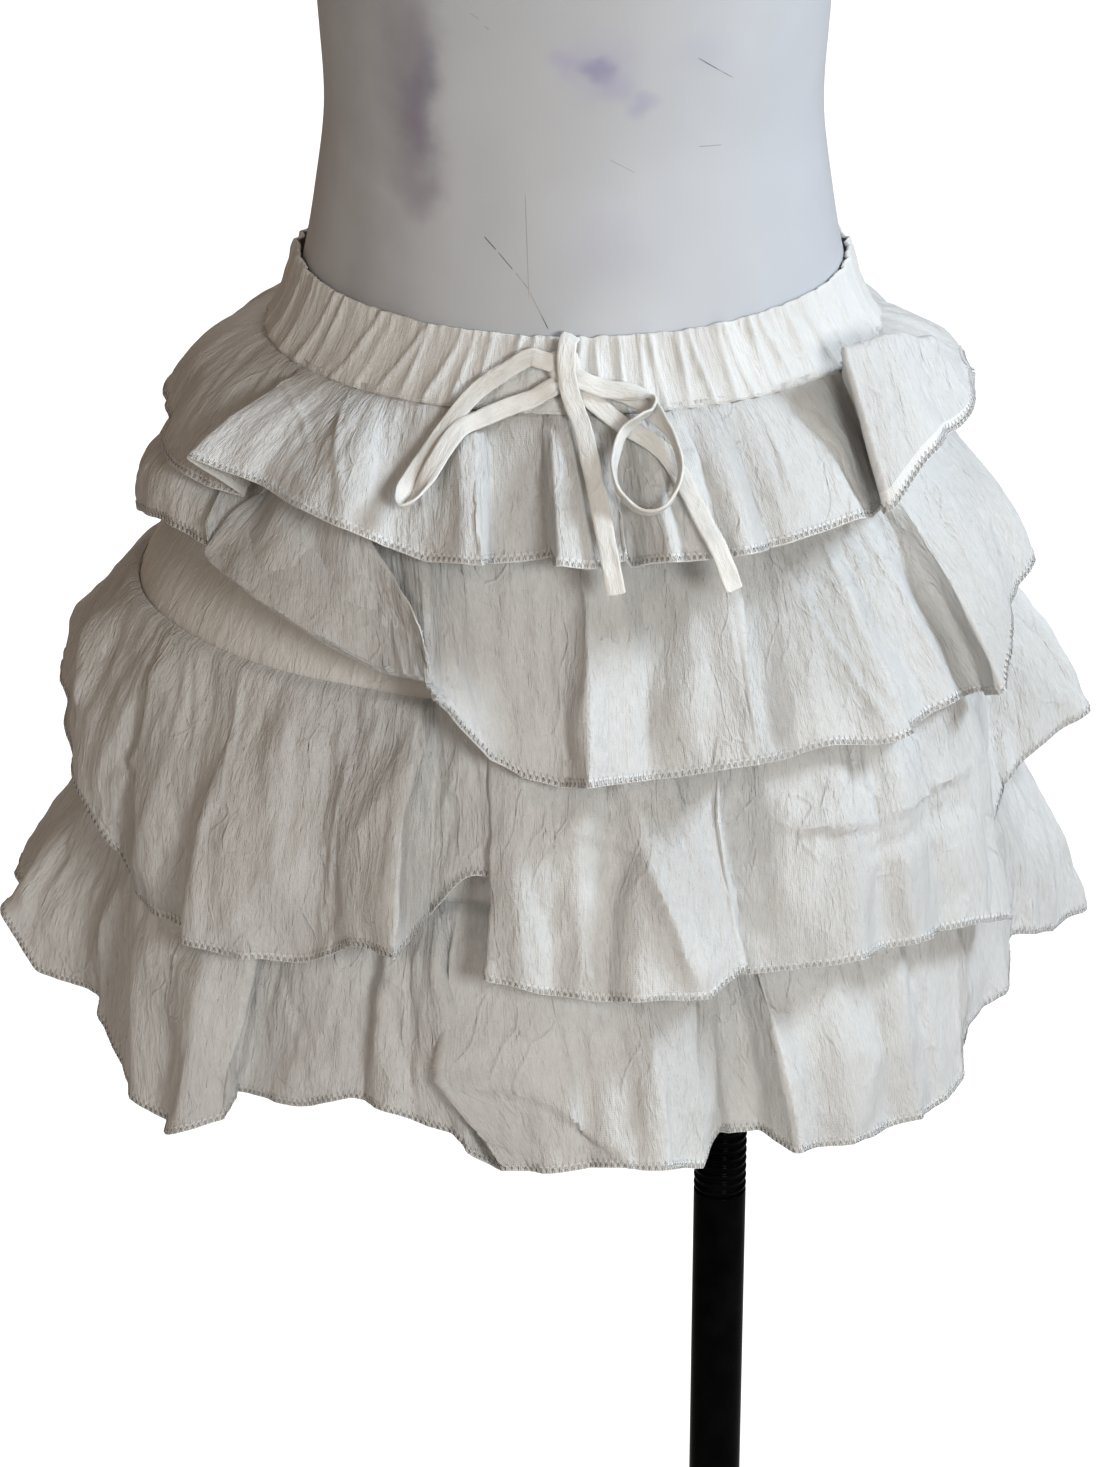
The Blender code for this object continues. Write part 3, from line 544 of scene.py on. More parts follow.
def cotton(name, colour, tint, crinkle=1.0, translucent=0.32, weave=0.16):
    """Crinkled plain-weave cotton: a fine weave, long crinkles down the cloth, slubs and a soft nap."""
    material, nodes, links, shader = new_material(name)
    uv = nodes.new("ShaderNodeUVMap")
    uv.uv_map = "cloth"
    shader.inputs["Roughness"].default_value = 0.85
    shader.inputs["Sheen Weight"].default_value = 0.12
    shader.inputs["Sheen Roughness"].default_value = 0.45
    shader.inputs["Specular IOR Level"].default_value = 0.25

    def mapped(across, down, detail, seed, rough=0.55, warp=0.0):
        place = nodes.new("ShaderNodeMapping")
        place.inputs["Scale"].default_value = (across, down, 1)
        place.inputs["Location"].default_value = (seed * 3.1, seed * 1.7, 0)
        links.new(uv.outputs["UV"], place.inputs["Vector"])
        tex = nodes.new("ShaderNodeTexNoise")
        tex.noise_dimensions = "2D"
        tex.inputs["Scale"].default_value = 1.0
        tex.inputs["Detail"].default_value = detail
        tex.inputs["Roughness"].default_value = rough
        tex.inputs["Distortion"].default_value = warp
        links.new(place.outputs["Vector"], tex.inputs["Vector"])
        return tex.outputs["Fac"]

    def wave(direction, threads):
        tex = nodes.new("ShaderNodeTexWave")
        tex.bands_direction = direction
        tex.wave_profile = "SIN"
        place = nodes.new("ShaderNodeMapping")
        place.inputs["Scale"].default_value = (threads, threads, threads)
        links.new(uv.outputs["UV"], place.inputs["Vector"])
        links.new(place.outputs["Vector"], tex.inputs["Vector"])
        tex.inputs["Scale"].default_value = 0.3142
        tex.inputs["Distortion"].default_value = 0.6
        tex.inputs["Detail"].default_value = 1.0
        tex.inputs["Detail Scale"].default_value = 0.4
        return tex.outputs["Fac"]

    def blend(a, b, factor, mode="MIX"):
        mix = nodes.new("ShaderNodeMix")
        mix.data_type = "FLOAT"
        mix.inputs["Factor"].default_value = factor
        links.new(a, mix.inputs["A"])
        links.new(b, mix.inputs["B"])
        return mix.outputs["Result"]

    # Colour: slightly uneven, with slubs that run down the cloth.
    clouds = mapped(16, 10, 1, 1)
    slubs = mapped(950, 150, 2, 2, 0.7, 0.4)
    ramp = nodes.new("ShaderNodeValToRGB")
    ramp.color_ramp.elements[0].position = 0.38
    ramp.color_ramp.elements[0].color = (*tint, 1)
    ramp.color_ramp.elements[1].position = 0.62
    ramp.color_ramp.elements[1].color = (*colour, 1)
    links.new(blend(clouds, slubs, 0.45), ramp.inputs["Fac"])
    links.new(ramp.outputs["Color"], shader.inputs["Base Color"])

    # Height: weave, fine crinkle and soft creases.
    warp, weft = wave("X", 1100), wave("Y", 1000)
    weaving = nodes.new("ShaderNodeMath")
    weaving.operation = "MULTIPLY"
    links.new(warp, weaving.inputs[0])
    links.new(weft, weaving.inputs[1])
    fine = nodes.new("ShaderNodeBump")
    fine.inputs["Strength"].default_value = weave
    fine.inputs["Distance"].default_value = 0.0003
    links.new(weaving.outputs["Value"], fine.inputs["Height"])
    streaks = nodes.new("ShaderNodeBump")
    streaks.inputs["Strength"].default_value = 0.75 * crinkle
    streaks.inputs["Distance"].default_value = 0.0014
    patches = nodes.new("ShaderNodeMath")
    patches.operation = "MULTIPLY"
    links.new(mapped(360, 120, 2, 3, 0.6, 0.8), patches.inputs[0])
    links.new(mapped(22, 16, 1, 6, 0.5), patches.inputs[1])
    links.new(patches.outputs["Value"], streaks.inputs["Height"])
    hairs = nodes.new("ShaderNodeBump")
    hairs.inputs["Strength"].default_value = 0.55 * crinkle
    hairs.inputs["Distance"].default_value = 0.0007
    links.new(mapped(1000, 260, 1, 8, 0.6, 0.5), hairs.inputs["Height"])
    links.new(fine.outputs["Normal"], hairs.inputs["Normal"])
    links.new(hairs.outputs["Normal"], streaks.inputs["Normal"])
    # Straight thin creases at any lie.
    spread = nodes.new("ShaderNodeMapping")
    spread.inputs["Scale"].default_value = (58, 30, 1)
    links.new(uv.outputs["UV"], spread.inputs["Vector"])
    cells = nodes.new("ShaderNodeTexVoronoi")
    cells.voronoi_dimensions = "2D"
    cells.feature = "DISTANCE_TO_EDGE"
    cells.inputs["Scale"].default_value = 1.0
    stray = nodes.new("ShaderNodeTexNoise")
    stray.noise_dimensions = "2D"
    stray.inputs["Scale"].default_value = 0.7
    stray.inputs["Detail"].default_value = 1.0
    links.new(spread.outputs["Vector"], stray.inputs["Vector"])
    pushed = nodes.new("ShaderNodeVectorMath")
    pushed.operation = "MULTIPLY_ADD"
    pushed.inputs[1].default_value = (1.6, 1.6, 0)
    links.new(stray.outputs["Color"], pushed.inputs[0])
    links.new(spread.outputs["Vector"], pushed.inputs[2])
    links.new(pushed.outputs["Vector"], cells.inputs["Vector"])
    crest = nodes.new("ShaderNodeMapRange")
    crest.inputs["From Min"].default_value = 0.0
    crest.inputs["From Max"].default_value = 0.07
    crest.inputs["To Min"].default_value = 1.0
    crest.inputs["To Max"].default_value = 0.0
    links.new(cells.outputs["Distance"], crest.inputs["Value"])
    worn = nodes.new("ShaderNodeMath")
    worn.operation = "MULTIPLY"
    links.new(crest.outputs["Result"], worn.inputs[0])
    fading = nodes.new("ShaderNodeMapRange")
    fading.inputs["From Min"].default_value = 0.46
    fading.inputs["From Max"].default_value = 0.66
    links.new(mapped(24, 14, 1, 9), fading.inputs["Value"])
    links.new(fading.outputs["Result"], worn.inputs[1])
    thin = nodes.new("ShaderNodeBump")
    thin.inputs["Strength"].default_value = 0.42 * crinkle
    thin.inputs["Distance"].default_value = 0.0011
    links.new(worn.outputs["Value"], thin.inputs["Height"])
    links.new(streaks.outputs["Normal"], thin.inputs["Normal"])
    soft = nodes.new("ShaderNodeBump")
    soft.inputs["Strength"].default_value = 0.6 * crinkle
    soft.inputs["Distance"].default_value = 0.003
    links.new(mapped(105, 34, 2, 4, 0.55), soft.inputs["Height"])
    links.new(thin.outputs["Normal"], soft.inputs["Normal"])
    links.new(soft.outputs["Normal"], shader.inputs["Normal"])

    rough = nodes.new("ShaderNodeMapRange")
    rough.inputs["To Min"].default_value = 0.78
    rough.inputs["To Max"].default_value = 0.95
    links.new(slubs, rough.inputs["Value"])
    links.new(rough.outputs["Result"], shader.inputs["Roughness"])

    through = nodes.new("ShaderNodeBsdfTranslucent")
    links.new(ramp.outputs["Color"], through.inputs["Color"])
    links.new(soft.outputs["Normal"], through.inputs["Normal"])
    both = nodes.new("ShaderNodeMixShader")
    both.inputs["Fac"].default_value = translucent
    links.new(shader.outputs["BSDF"], both.inputs[1])
    links.new(through.outputs["BSDF"], both.inputs[2])
    links.new(both.outputs["Shader"], nodes["Material Output"].inputs["Surface"])
    return material


# Stains on the form's front; the first row is painted shade down the wearer's right flank. Columns: across
# and height in metres, half width, half height, strength, tint the paint is multiplied by.
STAINS_AND_PAINTED_SHADE = (
    # Painted shade: the first row darkens the flank away from the window lamp. It is not a stain.
    (-0.1950, 1.080, 0.066, 0.260, 0.88, (0.56, 0.51, 0.48)),
    (-0.1500, 1.105, 0.022, 0.085, 0.95, (0.70, 0.66, 0.70)),
    (-0.1480, 1.082, 0.014, 0.030, 0.85, (0.74, 0.70, 0.78)),
    (-0.1440, 1.106, 0.010, 0.022, 0.80, (0.74, 0.75, 0.80)),
    (-0.1480, 1.050, 0.014, 0.020, 0.80, (0.78, 0.74, 0.78)),
    (-0.0665, 1.116, 0.026, 0.024, 0.80, (0.90, 0.88, 0.98)),
    (-0.0665, 1.1145, 0.010, 0.009, 0.95, (0.74, 0.72, 0.86)),
    (-0.0480, 1.098, 0.010, 0.007, 0.90, (0.84, 0.82, 0.94)),
    (-0.0800, 1.118, 0.012, 0.010, 0.80, (0.90, 0.89, 0.99)),
    (-0.0590, 1.105, 0.012, 0.008, 0.70, (0.90, 0.88, 0.97)),
    (-0.0620, 1.032, 0.034, 0.030, 0.50, (0.93, 0.92, 0.99)),
    (-0.0190, 1.118, 0.020, 0.016, 0.60, (0.94, 0.93, 0.99)),
    (-0.1150, 1.060, 0.020, 0.050, 0.45, (0.92, 0.91, 0.94)),
)
# Scratches: start and end (across, height) in metres, width, strength.
SCRATCHES = (
    (-0.1176, 1.0350, -0.1120, 1.0290, 0.0007, 0.9),
    (-0.1115, 1.0285, -0.1045, 1.0205, 0.0006, 0.8),
    (-0.1035, 1.0195, -0.0975, 1.0120, 0.0006, 0.9),
    (-0.0975, 1.0115, -0.0885, 0.9940, 0.0007, 0.9),
    (-0.0233, 1.1170, -0.0060, 1.1040, 0.0007, 0.9),
    (-0.0992, 1.0580, -0.0975, 1.0070, 0.0006, 0.35),
    (-0.1165, 1.1335, -0.1148, 1.1318, 0.0010, 1.0),
    (-0.1230, 1.1390, -0.1190, 1.1365, 0.0006, 0.6),
    (-0.0220, 1.0745, -0.0110, 1.0735, 0.0006, 0.5),
    (-0.0620, 1.0720, -0.0500, 1.0650, 0.0004, 0.4),
)


def form_paint():
    """Old satin paint on a moulded form: faint mottling, stains, fine scratches and a few small chips, and a broad
    painted shade down the flank away from the window lamp.
    """
    material, nodes, links, shader = new_material("form_paint")
    place = nodes.new("ShaderNodeTexCoord")
    shader.inputs["Roughness"].default_value = 0.42
    shader.inputs["Specular IOR Level"].default_value = 0.5

    def noise_at(scale, detail, stretch=(1, 1, 1), rough=0.5):
        mapping = nodes.new("ShaderNodeMapping")
        mapping.inputs["Scale"].default_value = stretch
        links.new(place.outputs["Object"], mapping.inputs["Vector"])
        tex = nodes.new("ShaderNodeTexNoise")
        tex.inputs["Scale"].default_value = scale
        tex.inputs["Detail"].default_value = detail
        tex.inputs["Roughness"].default_value = rough
        links.new(mapping.outputs["Vector"], tex.inputs["Vector"])
        return tex.outputs["Fac"]

    def ramp(value, low, high, a, b):
        r = nodes.new("ShaderNodeValToRGB")
        r.color_ramp.elements[0].position, r.color_ramp.elements[1].position = low, high
        r.color_ramp.elements[0].color, r.color_ramp.elements[1].color = (*a, 1), (*b, 1)
        links.new(value, r.inputs["Fac"])
        return r.outputs["Color"]

    base = ramp(noise_at(9, 3), 0.35, 0.7, (0.49, 0.505, 0.53), (0.545, 0.56, 0.585))
    scratch = ramp(noise_at(60, 4, (1.4, 1.4, 0.25), 0.7), 0.72, 0.76, (0, 0, 0), (1, 1, 1))
    chips = ramp(noise_at(42, 5, (1, 1, 1), 0.65), 0.78, 0.79, (0, 0, 0), (1, 1, 1))
    worn = nodes.new("ShaderNodeMix")
    worn.data_type = "RGBA"
    worn.inputs["B"].default_value = (0.50, 0.50, 0.49, 1)
    links.new(scratch, worn.inputs["Factor"])
    links.new(base, worn.inputs["A"])
    chipped = nodes.new("ShaderNodeMix")
    chipped.data_type = "RGBA"
    chipped.inputs["B"].default_value = (0.16, 0.16, 0.17, 1)
    links.new(chips, chipped.inputs["Factor"])
    links.new(worn.outputs["Result"], chipped.inputs["A"])
    colour = chipped.outputs["Result"]

    def tinted(colour, mask, tint):
        mix = nodes.new("ShaderNodeMix")
        mix.data_type = "RGBA"
        mix.blend_type = "MULTIPLY"
        mix.inputs["B"].default_value = (*tint, 1)
        links.new(mask, mix.inputs["Factor"])
        links.new(colour, mix.inputs["A"])
        return mix.outputs["Result"]

    def ranged(value, a, b, low, high):
        r = nodes.new("ShaderNodeMapRange")
        for socket, number in (("From Min", a), ("From Max", b), ("To Min", low), ("To Max", high)):
            r.inputs[socket].default_value = number
        r.interpolation_type = "SMOOTHSTEP"
        links.new(value, r.inputs["Value"])
        return r.outputs["Result"]

    # Ragged places for the stains and the painted shade: each point is moved a little by slow noise.
    cloud = nodes.new("ShaderNodeTexNoise")
    cloud.inputs["Scale"].default_value = 45
    cloud.inputs["Detail"].default_value = 4
    links.new(place.outputs["Object"], cloud.inputs["Vector"])
    shift = nodes.new("ShaderNodeVectorMath")
    shift.operation = "MULTIPLY_ADD"
    shift.inputs[1].default_value = (0.020, 0.020, 0.020)
    links.new(cloud.outputs["Color"], shift.inputs[0])
    links.new(place.outputs["Object"], shift.inputs[2])
    # Each row darkens the paint round its place. Most rows are stains, and the first row is painted shade.
    for x, z, wide, high, strength, tint in STAINS_AND_PAINTED_SHADE:
        mapping = nodes.new("ShaderNodeMapping")
        mapping.vector_type = "TEXTURE"
        mapping.inputs["Location"].default_value = (x + 0.010, -0.075, z + 0.010)
        mapping.inputs["Scale"].default_value = (wide, 0.06, high)
        links.new(shift.outputs["Vector"], mapping.inputs["Vector"])
        away = nodes.new("ShaderNodeVectorMath")
        away.operation = "LENGTH"
        links.new(mapping.outputs["Vector"], away.inputs[0])
        colour = tinted(colour, ranged(away.outputs["Value"], 0.15, 1.0, strength, 0.0), tint)
    for x0, z0, x1, z1, wide, strength in SCRATCHES:
        long_ = math.hypot(x1 - x0, z1 - z0)
        mapping = nodes.new("ShaderNodeMapping")
        mapping.vector_type = "TEXTURE"
        mapping.inputs["Location"].default_value = ((x0 + x1) / 2, -0.085, (z0 + z1) / 2)
        mapping.inputs["Rotation"].default_value = (0, math.atan2(z0 - z1, x1 - x0), 0)
        mapping.inputs["Scale"].default_value = (long_ / 2, 0.03, wide / 2)
        links.new(place.outputs["Object"], mapping.inputs["Vector"])
        split = nodes.new("ShaderNodeSeparateXYZ")
        links.new(mapping.outputs["Vector"], split.inputs[0])
        masks = []
        for axis, a in (("X", 0.8), ("Y", 0.9), ("Z", 0.3)):
            size = nodes.new("ShaderNodeMath")
            size.operation = "ABSOLUTE"
            links.new(split.outputs[axis], size.inputs[0])
            masks.append(ranged(size.outputs["Value"], a, 1.0, 1.0, 0.0))
        for other in masks[1:] + [ranged(cloud.outputs["Fac"], 0.40, 0.52, 0.25, strength)]:
            product = nodes.new("ShaderNodeMath")
            product.operation = "MULTIPLY"
            links.new(masks[0], product.inputs[0])
            links.new(other, product.inputs[1])
            masks[0] = product.outputs["Value"]
        colour = tinted(colour, masks[0], (0.16, 0.15, 0.17))
    links.new(colour, shader.inputs["Base Color"])
    rough = nodes.new("ShaderNodeMapRange")
    rough.inputs["To Min"].default_value = 0.34
    rough.inputs["To Max"].default_value = 0.55
    links.new(noise_at(30, 4), rough.inputs["Value"])
    links.new(rough.outputs["Result"], shader.inputs["Roughness"])
    bump = nodes.new("ShaderNodeBump")
    bump.inputs["Strength"].default_value = 0.25
    bump.inputs["Distance"].default_value = 0.0006
    links.new(noise_at(55, 4), bump.inputs["Height"])
    links.new(bump.outputs["Normal"], shader.inputs["Normal"])
    return material


def black_paint(name, low, high, grain):
    """Gloss black paint on steel: slight orange peel and dust."""
    material, nodes, links, shader = new_material(name)
    place = nodes.new("ShaderNodeTexCoord")
    tex = nodes.new("ShaderNodeTexNoise")
    tex.inputs["Scale"].default_value = grain
    tex.inputs["Detail"].default_value = 4
    links.new(place.outputs["Object"], tex.inputs["Vector"])
    shader.inputs["Base Color"].default_value = (0.004, 0.004, 0.0045, 1)
    shader.inputs["Specular IOR Level"].default_value = 0.02
    ramp = nodes.new("ShaderNodeValToRGB")
    ramp.color_ramp.elements[0].position, ramp.color_ramp.elements[1].position = 0.3, 0.85
    ramp.color_ramp.elements[0].color = (0.0012, 0.0012, 0.0011, 1)
    ramp.color_ramp.elements[1].color = (0.006, 0.006, 0.0062, 1)
    links.new(tex.outputs["Fac"], ramp.inputs["Fac"])
    links.new(ramp.outputs["Color"], shader.inputs["Base Color"])
    rough = nodes.new("ShaderNodeMapRange")
    rough.inputs["To Min"].default_value = low
    rough.inputs["To Max"].default_value = high
    links.new(tex.outputs["Fac"], rough.inputs["Value"])
    links.new(rough.outputs["Result"], shader.inputs["Roughness"])
    bump = nodes.new("ShaderNodeBump")
    bump.inputs["Strength"].default_value = 0.08
    bump.inputs["Distance"].default_value = 0.0004
    links.new(tex.outputs["Fac"], bump.inputs["Height"])
    links.new(bump.outputs["Normal"], shader.inputs["Normal"])
    return material


def thread_material():
    """Matt cotton sewing thread."""
    material, nodes, links, shader = new_material("thread")
    place = nodes.new("ShaderNodeTexCoord")
    tex = nodes.new("ShaderNodeTexNoise")
    tex.inputs["Scale"].default_value = 900
    links.new(place.outputs["Object"], tex.inputs["Vector"])
    ramp = nodes.new("ShaderNodeValToRGB")
    ramp.color_ramp.elements[0].color = (0.95, 0.945, 0.93, 1)
    ramp.color_ramp.elements[1].color = (0.99, 0.99, 0.98, 1)
    links.new(tex.outputs["Fac"], ramp.inputs["Fac"])
    links.new(ramp.outputs["Color"], shader.inputs["Base Color"])
    shader.inputs["Roughness"].default_value = 0.8
    through = nodes.new("ShaderNodeBsdfTranslucent")
    links.new(ramp.outputs["Color"], through.inputs["Color"])
    both = nodes.new("ShaderNodeMixShader")
    both.inputs["Fac"].default_value = 0.50
    links.new(shader.outputs["BSDF"], both.inputs[1])
    links.new(through.outputs["BSDF"], both.inputs[2])
    links.new(both.outputs["Shader"], nodes["Material Output"].inputs["Surface"])
    return material


COTTON = cotton("cotton_tiers", (0.82, 0.82, 0.81), (0.73, 0.725, 0.71), translucent=0.30, weave=0.4)
# The overlocked edge is lighter than the cloth. Part of that is its white overlock thread, and part is painted light
# that lifts the shade along the hem's rim.
COTTON_EDGE_THREAD_AND_PAINTED_LIGHT = cotton("cotton_overlocked_edge_and_painted_light", (0.93, 0.93, 0.92), (0.88, 0.875, 0.86), crinkle=0.4, translucent=0.34, weave=0.5)
COTTON_BAND = cotton("cotton_waistband", (0.80, 0.80, 0.785), (0.72, 0.71, 0.69), crinkle=0.6, translucent=0.14, weave=0.4)
# The tie's cotton is a slightly darker copy of the tiers' cotton: painted shade.
COTTON_TIE_PAINTED_SHADE = cotton("cotton_tie", (0.79, 0.78, 0.75), (0.71, 0.70, 0.67), crinkle=0.5, translucent=0.08)
COTTON_UNDER = cotton("cotton_under_layers", (0.80, 0.79, 0.765), (0.73, 0.715, 0.685), crinkle=0.7, translucent=0.16)
FORM_PAINT = form_paint()
POLE_PAINT = black_paint("pole_paint", 0.10, 0.22, 60)
BASE_PAINT = black_paint("base_paint", 0.25, 0.45, 90)
THREAD = thread_material()

# ---------------------------------------------------------------- camera, then the tie

PITCH = math.radians(26)
cam_data = bpy.data.cameras.new("camera")
cam_data.sensor_fit = "AUTO"
cam_data.sensor_width = 36
cam_data.lens = 36 * 4500 / 1467
cam_data.clip_start, cam_data.clip_end = 0.05, 100
camera = bpy.data.objects.new("camera", cam_data)
camera.location = (-0.0878, -2.22 * math.cos(PITCH), 0.745 + 2.22 * math.sin(PITCH))
camera.rotation_euler = (math.pi / 2 - PITCH, 0, 0)
STAGE.objects.link(camera)
bpy.context.scene.camera = camera


def smooth_route(rows, parts):
    rows = np.array(rows, float)
    ends = np.vstack((2 * rows[0] - rows[1], rows, 2 * rows[-1] - rows[-2]))
    route = []
    for i in range(len(rows) - 1):
        p0, p1, p2, p3 = ends[i : i + 4]
        for k in range(parts):
            t = k / parts
            route.append(
                0.5 * (2 * p1 + (p2 - p0) * t + (2 * p0 - 5 * p1 + 4 * p2 - p3) * t**2 + (3 * p1 - p0 - 3 * p2 + p3) * t**3)
            )
    route.append(rows[-1])
    return np.array(route)


def tie_frames(rows, parts):
    route = smooth_route(rows, parts)
    centre = np.stack((FORM_AXIS_X + route[:, 0] * MM, -route[:, 1] * MM, route[:, 2] * MM), 1)
    along = np.gradient(centre, axis=0)
    along /= np.linalg.norm(along, axis=1)[:, None]
    out = np.stack((route[:, 0] / 146**2, -route[:, 1] / 121**2, np.zeros(len(route))), 1)
    out /= np.linalg.norm(out, axis=1)[:, None]
    out[:, 2] = 0.75
    width = np.cross(along, out)
    width /= np.linalg.norm(width, axis=1)[:, None]
    face = np.cross(width, along)
    roll = np.radians(route[:, 3])[:, None]
    turned = width * np.cos(roll) + face * np.sin(roll)
    return centre, turned, np.cross(turned, along)


def strap(name, rows, hem_side=1):
    """A flat folded strip: rounded edges, one stitched side with a row of dents, slight puckers."""
    centre, width, face = tie_frames(rows, 12)
    run = run_lengths(centre)
    ring = []
    for k in range(20):
        a = 2 * math.pi * k / 20
        ring.append((np.sign(math.cos(a)) * abs(math.cos(a)) ** 0.45, np.sign(math.sin(a)) * abs(math.sin(a)) ** 0.8))
    ring = np.array(ring)
    points, uv = [], []
    for n, (c, w, f) in enumerate(zip(centre, width, face)):
        s = run[n]
        for a, b in ring:
            across = a * TIE_WIDTH / 2 * (1 + 0.035 * noise(s * 90, 0, 7) + 0.02 * noise(s * 260, 3, 8))
            up = b * TIE_WALL / 2
            seam = math.exp(-(((a * hem_side - 0.62) / 0.11) ** 2))
            up *= 1 - seam * (0.42 + 0.07 * math.sin(s * 2 * math.pi / 0.0026))
            up += 0.00022 * float(noise(s * 170, a * 1.3 + 5, 9)) + 0.00035 * float(noise(s * 60, a * 0.7, 10))
            points.append(c + w * across + f * up)
            uv.append((a * TIE_WIDTH / 2 + 0.3, s))
    count, sides = len(centre), len(ring)
    faces = []
    for i in range(count - 1):
        for a in range(sides):
            b = (a + 1) % sides
            faces.append((i * sides + a, i * sides + b, (i + 1) * sides + b, (i + 1) * sides + a))
    faces = np.array(faces)
    # Round the ends over with two smaller rings and a fan of quads.
    points, uv = list(points), list(uv)
    for end, step in ((0, -1), (count - 1, 1)):
        along = (centre[end] - centre[end - step]) / np.linalg.norm(centre[end] - centre[end - step])
        first = end * sides
        rings = [list(range(first, first + sides))]
        for shrink, push in ((0.93, 0.00045), (0.6, 0.0008)):
            ids = []
            for a in range(sides):
                p = centre[end] + (points[first + a] - centre[end]) * shrink + along * push
                points.append(p)
                uv.append(uv[first + a])
                ids.append(len(points) - 1)
            rings.append(ids)
        extra = []
        for one, two in zip(rings, rings[1:]):
            for a in range(sides):
                b = (a + 1) % sides
                quad = (one[a], one[b], two[b], two[a])
                extra.append(quad if step > 0 else quad[::-1])
        last = rings[-1]
        for a in range(sides // 2 - 1):
            quad = (last[a], last[a + 1], last[sides - 2 - a], last[sides - 1 - a])
            extra.append(quad if step > 0 else quad[::-1])
        faces = np.concatenate((faces, np.array(extra)))
    points = np.array(points)
    a, b, c, d = (points[faces[:, n]] for n in range(4))
    volume = np.einsum("ij,ij->i", a, np.cross(b, c)).sum() + np.einsum("ij,ij->i", a, np.cross(c, d)).sum()
    if volume < 0:
        faces = faces[:, ::-1]
    obj = mesh_object(name, points, faces, COTTON_TIE_PAINTED_SHADE, uv)
    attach(obj, "root")
    return obj, [tuple(p) for p in centre[::3]] + ([] if (count - 1) % 3 == 0 else [tuple(centre[-1])]), run[-1]


def knot(name):
    """The knot: a pillow of cloth wrapped round, with strained folds across it."""
    across, out, height, wide, thick, long_, lean = KNOT
    points, uv, faces = [], [], []
    n_a, n_b = 48, 25
    t = math.radians(lean)
    for i in range(n_a):
        a = 2 * math.pi * i / n_a
        for k in range(n_b):
            b = math.pi * (k + 0.5) / n_b - math.pi / 2
            x = np.sign(math.cos(a)) * abs(math.cos(a)) ** 0.6 * math.cos(b) ** 0.5
            y = np.sign(math.sin(a)) * abs(math.sin(a)) ** 0.8 * math.cos(b) ** 0.5
            z = np.sign(math.sin(b)) * abs(math.sin(b)) ** 0.7
            swell = 1 + 0.07 * math.sin(5 * z + 2.2 * x) + 0.05 * float(noise(x * 3 + 9, z * 5, 11))
            px, py, pz = x * wide / 2 * swell, y * thick / 2 * swell, z * long_ / 2
            py, pz = py * math.cos(t) + pz * math.sin(t), -py * math.sin(t) + pz * math.cos(t)
            points.append((FORM_AXIS_X + (across + px) * MM, (-out + py) * MM, (height + pz) * MM))
            uv.append((x * 0.008 + 0.5, z * 0.008))
    for i in range(n_a):
        j = (i + 1) % n_a
        for k in range(n_b - 1):
            faces.append((i * n_b + k, j * n_b + k, j * n_b + k + 1, i * n_b + k + 1))
    for k, flip in ((0, False), (n_b - 1, True)):
        for i in range(n_a // 2 - 1):
            quad = (i * n_b + k, (n_a - 1 - i) * n_b + k, (n_a - 2 - i) * n_b + k, (i + 1) * n_b + k)
            faces.append(quad[::-1] if flip else quad)
    obj = mesh_object(name, points, np.array(faces), COTTON_TIE_PAINTED_SHADE, uv)
    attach(obj, "root")
    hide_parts("tie_knot")
    return obj


# How each strand runs on inside the knot, before its first row and after its last.
INTO_KNOT = {
    "tie_tail_front": ((), ()),
    "tie_loop_left": (((-9.0, 113.6, 984.6, 0),), ((-9.6, 118.0, 975.2, 0), (-6.0, 116.4, 977.2, 0))),
    "tie_loop_right": (((-0.6, 117.2, 979.8, 0),), ((0.4, 113.8, 977.6, 0),)),
    "tie_tail_side": (((2.6, 118.0, 973.8, 0),), ()),
}


def make_tie():
    knotted = knot("knot")
    for name, piece_name, lay, far in (
        ("tie_tail_front", "tail_front", "hanging", "bare"),
        ("tie_loop_left", "loop_left", "hanging", "object"),
        ("tie_loop_right", "loop_right", "hanging", "object"),
        ("tie_tail_side", "tail_side", "hanging", "bare"),
    ):
        rows = INTO_KNOT[name][0] + TIE[name] + INTO_KNOT[name][1]
        obj, path, length = strap(piece_name, rows, hem_side=-1 if name == "tie_tail_front" else 1)
        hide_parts(name)
    return knotted


make_tie()

# ---------------------------------------------------------------- tiers

# How fine each tier is: rows down it, columns each metre of hem in front and at the back,
# the mean width of a gather, how far gathers run down, and how proud they stand.
FINENESS = {
    #   rows, front, back, gather, run, depth
    1: (44, 540, 300, 8.0, 22, 0.80),
    2: (58, 500, 260, 9.0, 34, 0.80),
    3: (60, 470, 250, 9.5, 34, 1.05),
    4: (60, 450, 240, 10.0, 32, 0.80),
}

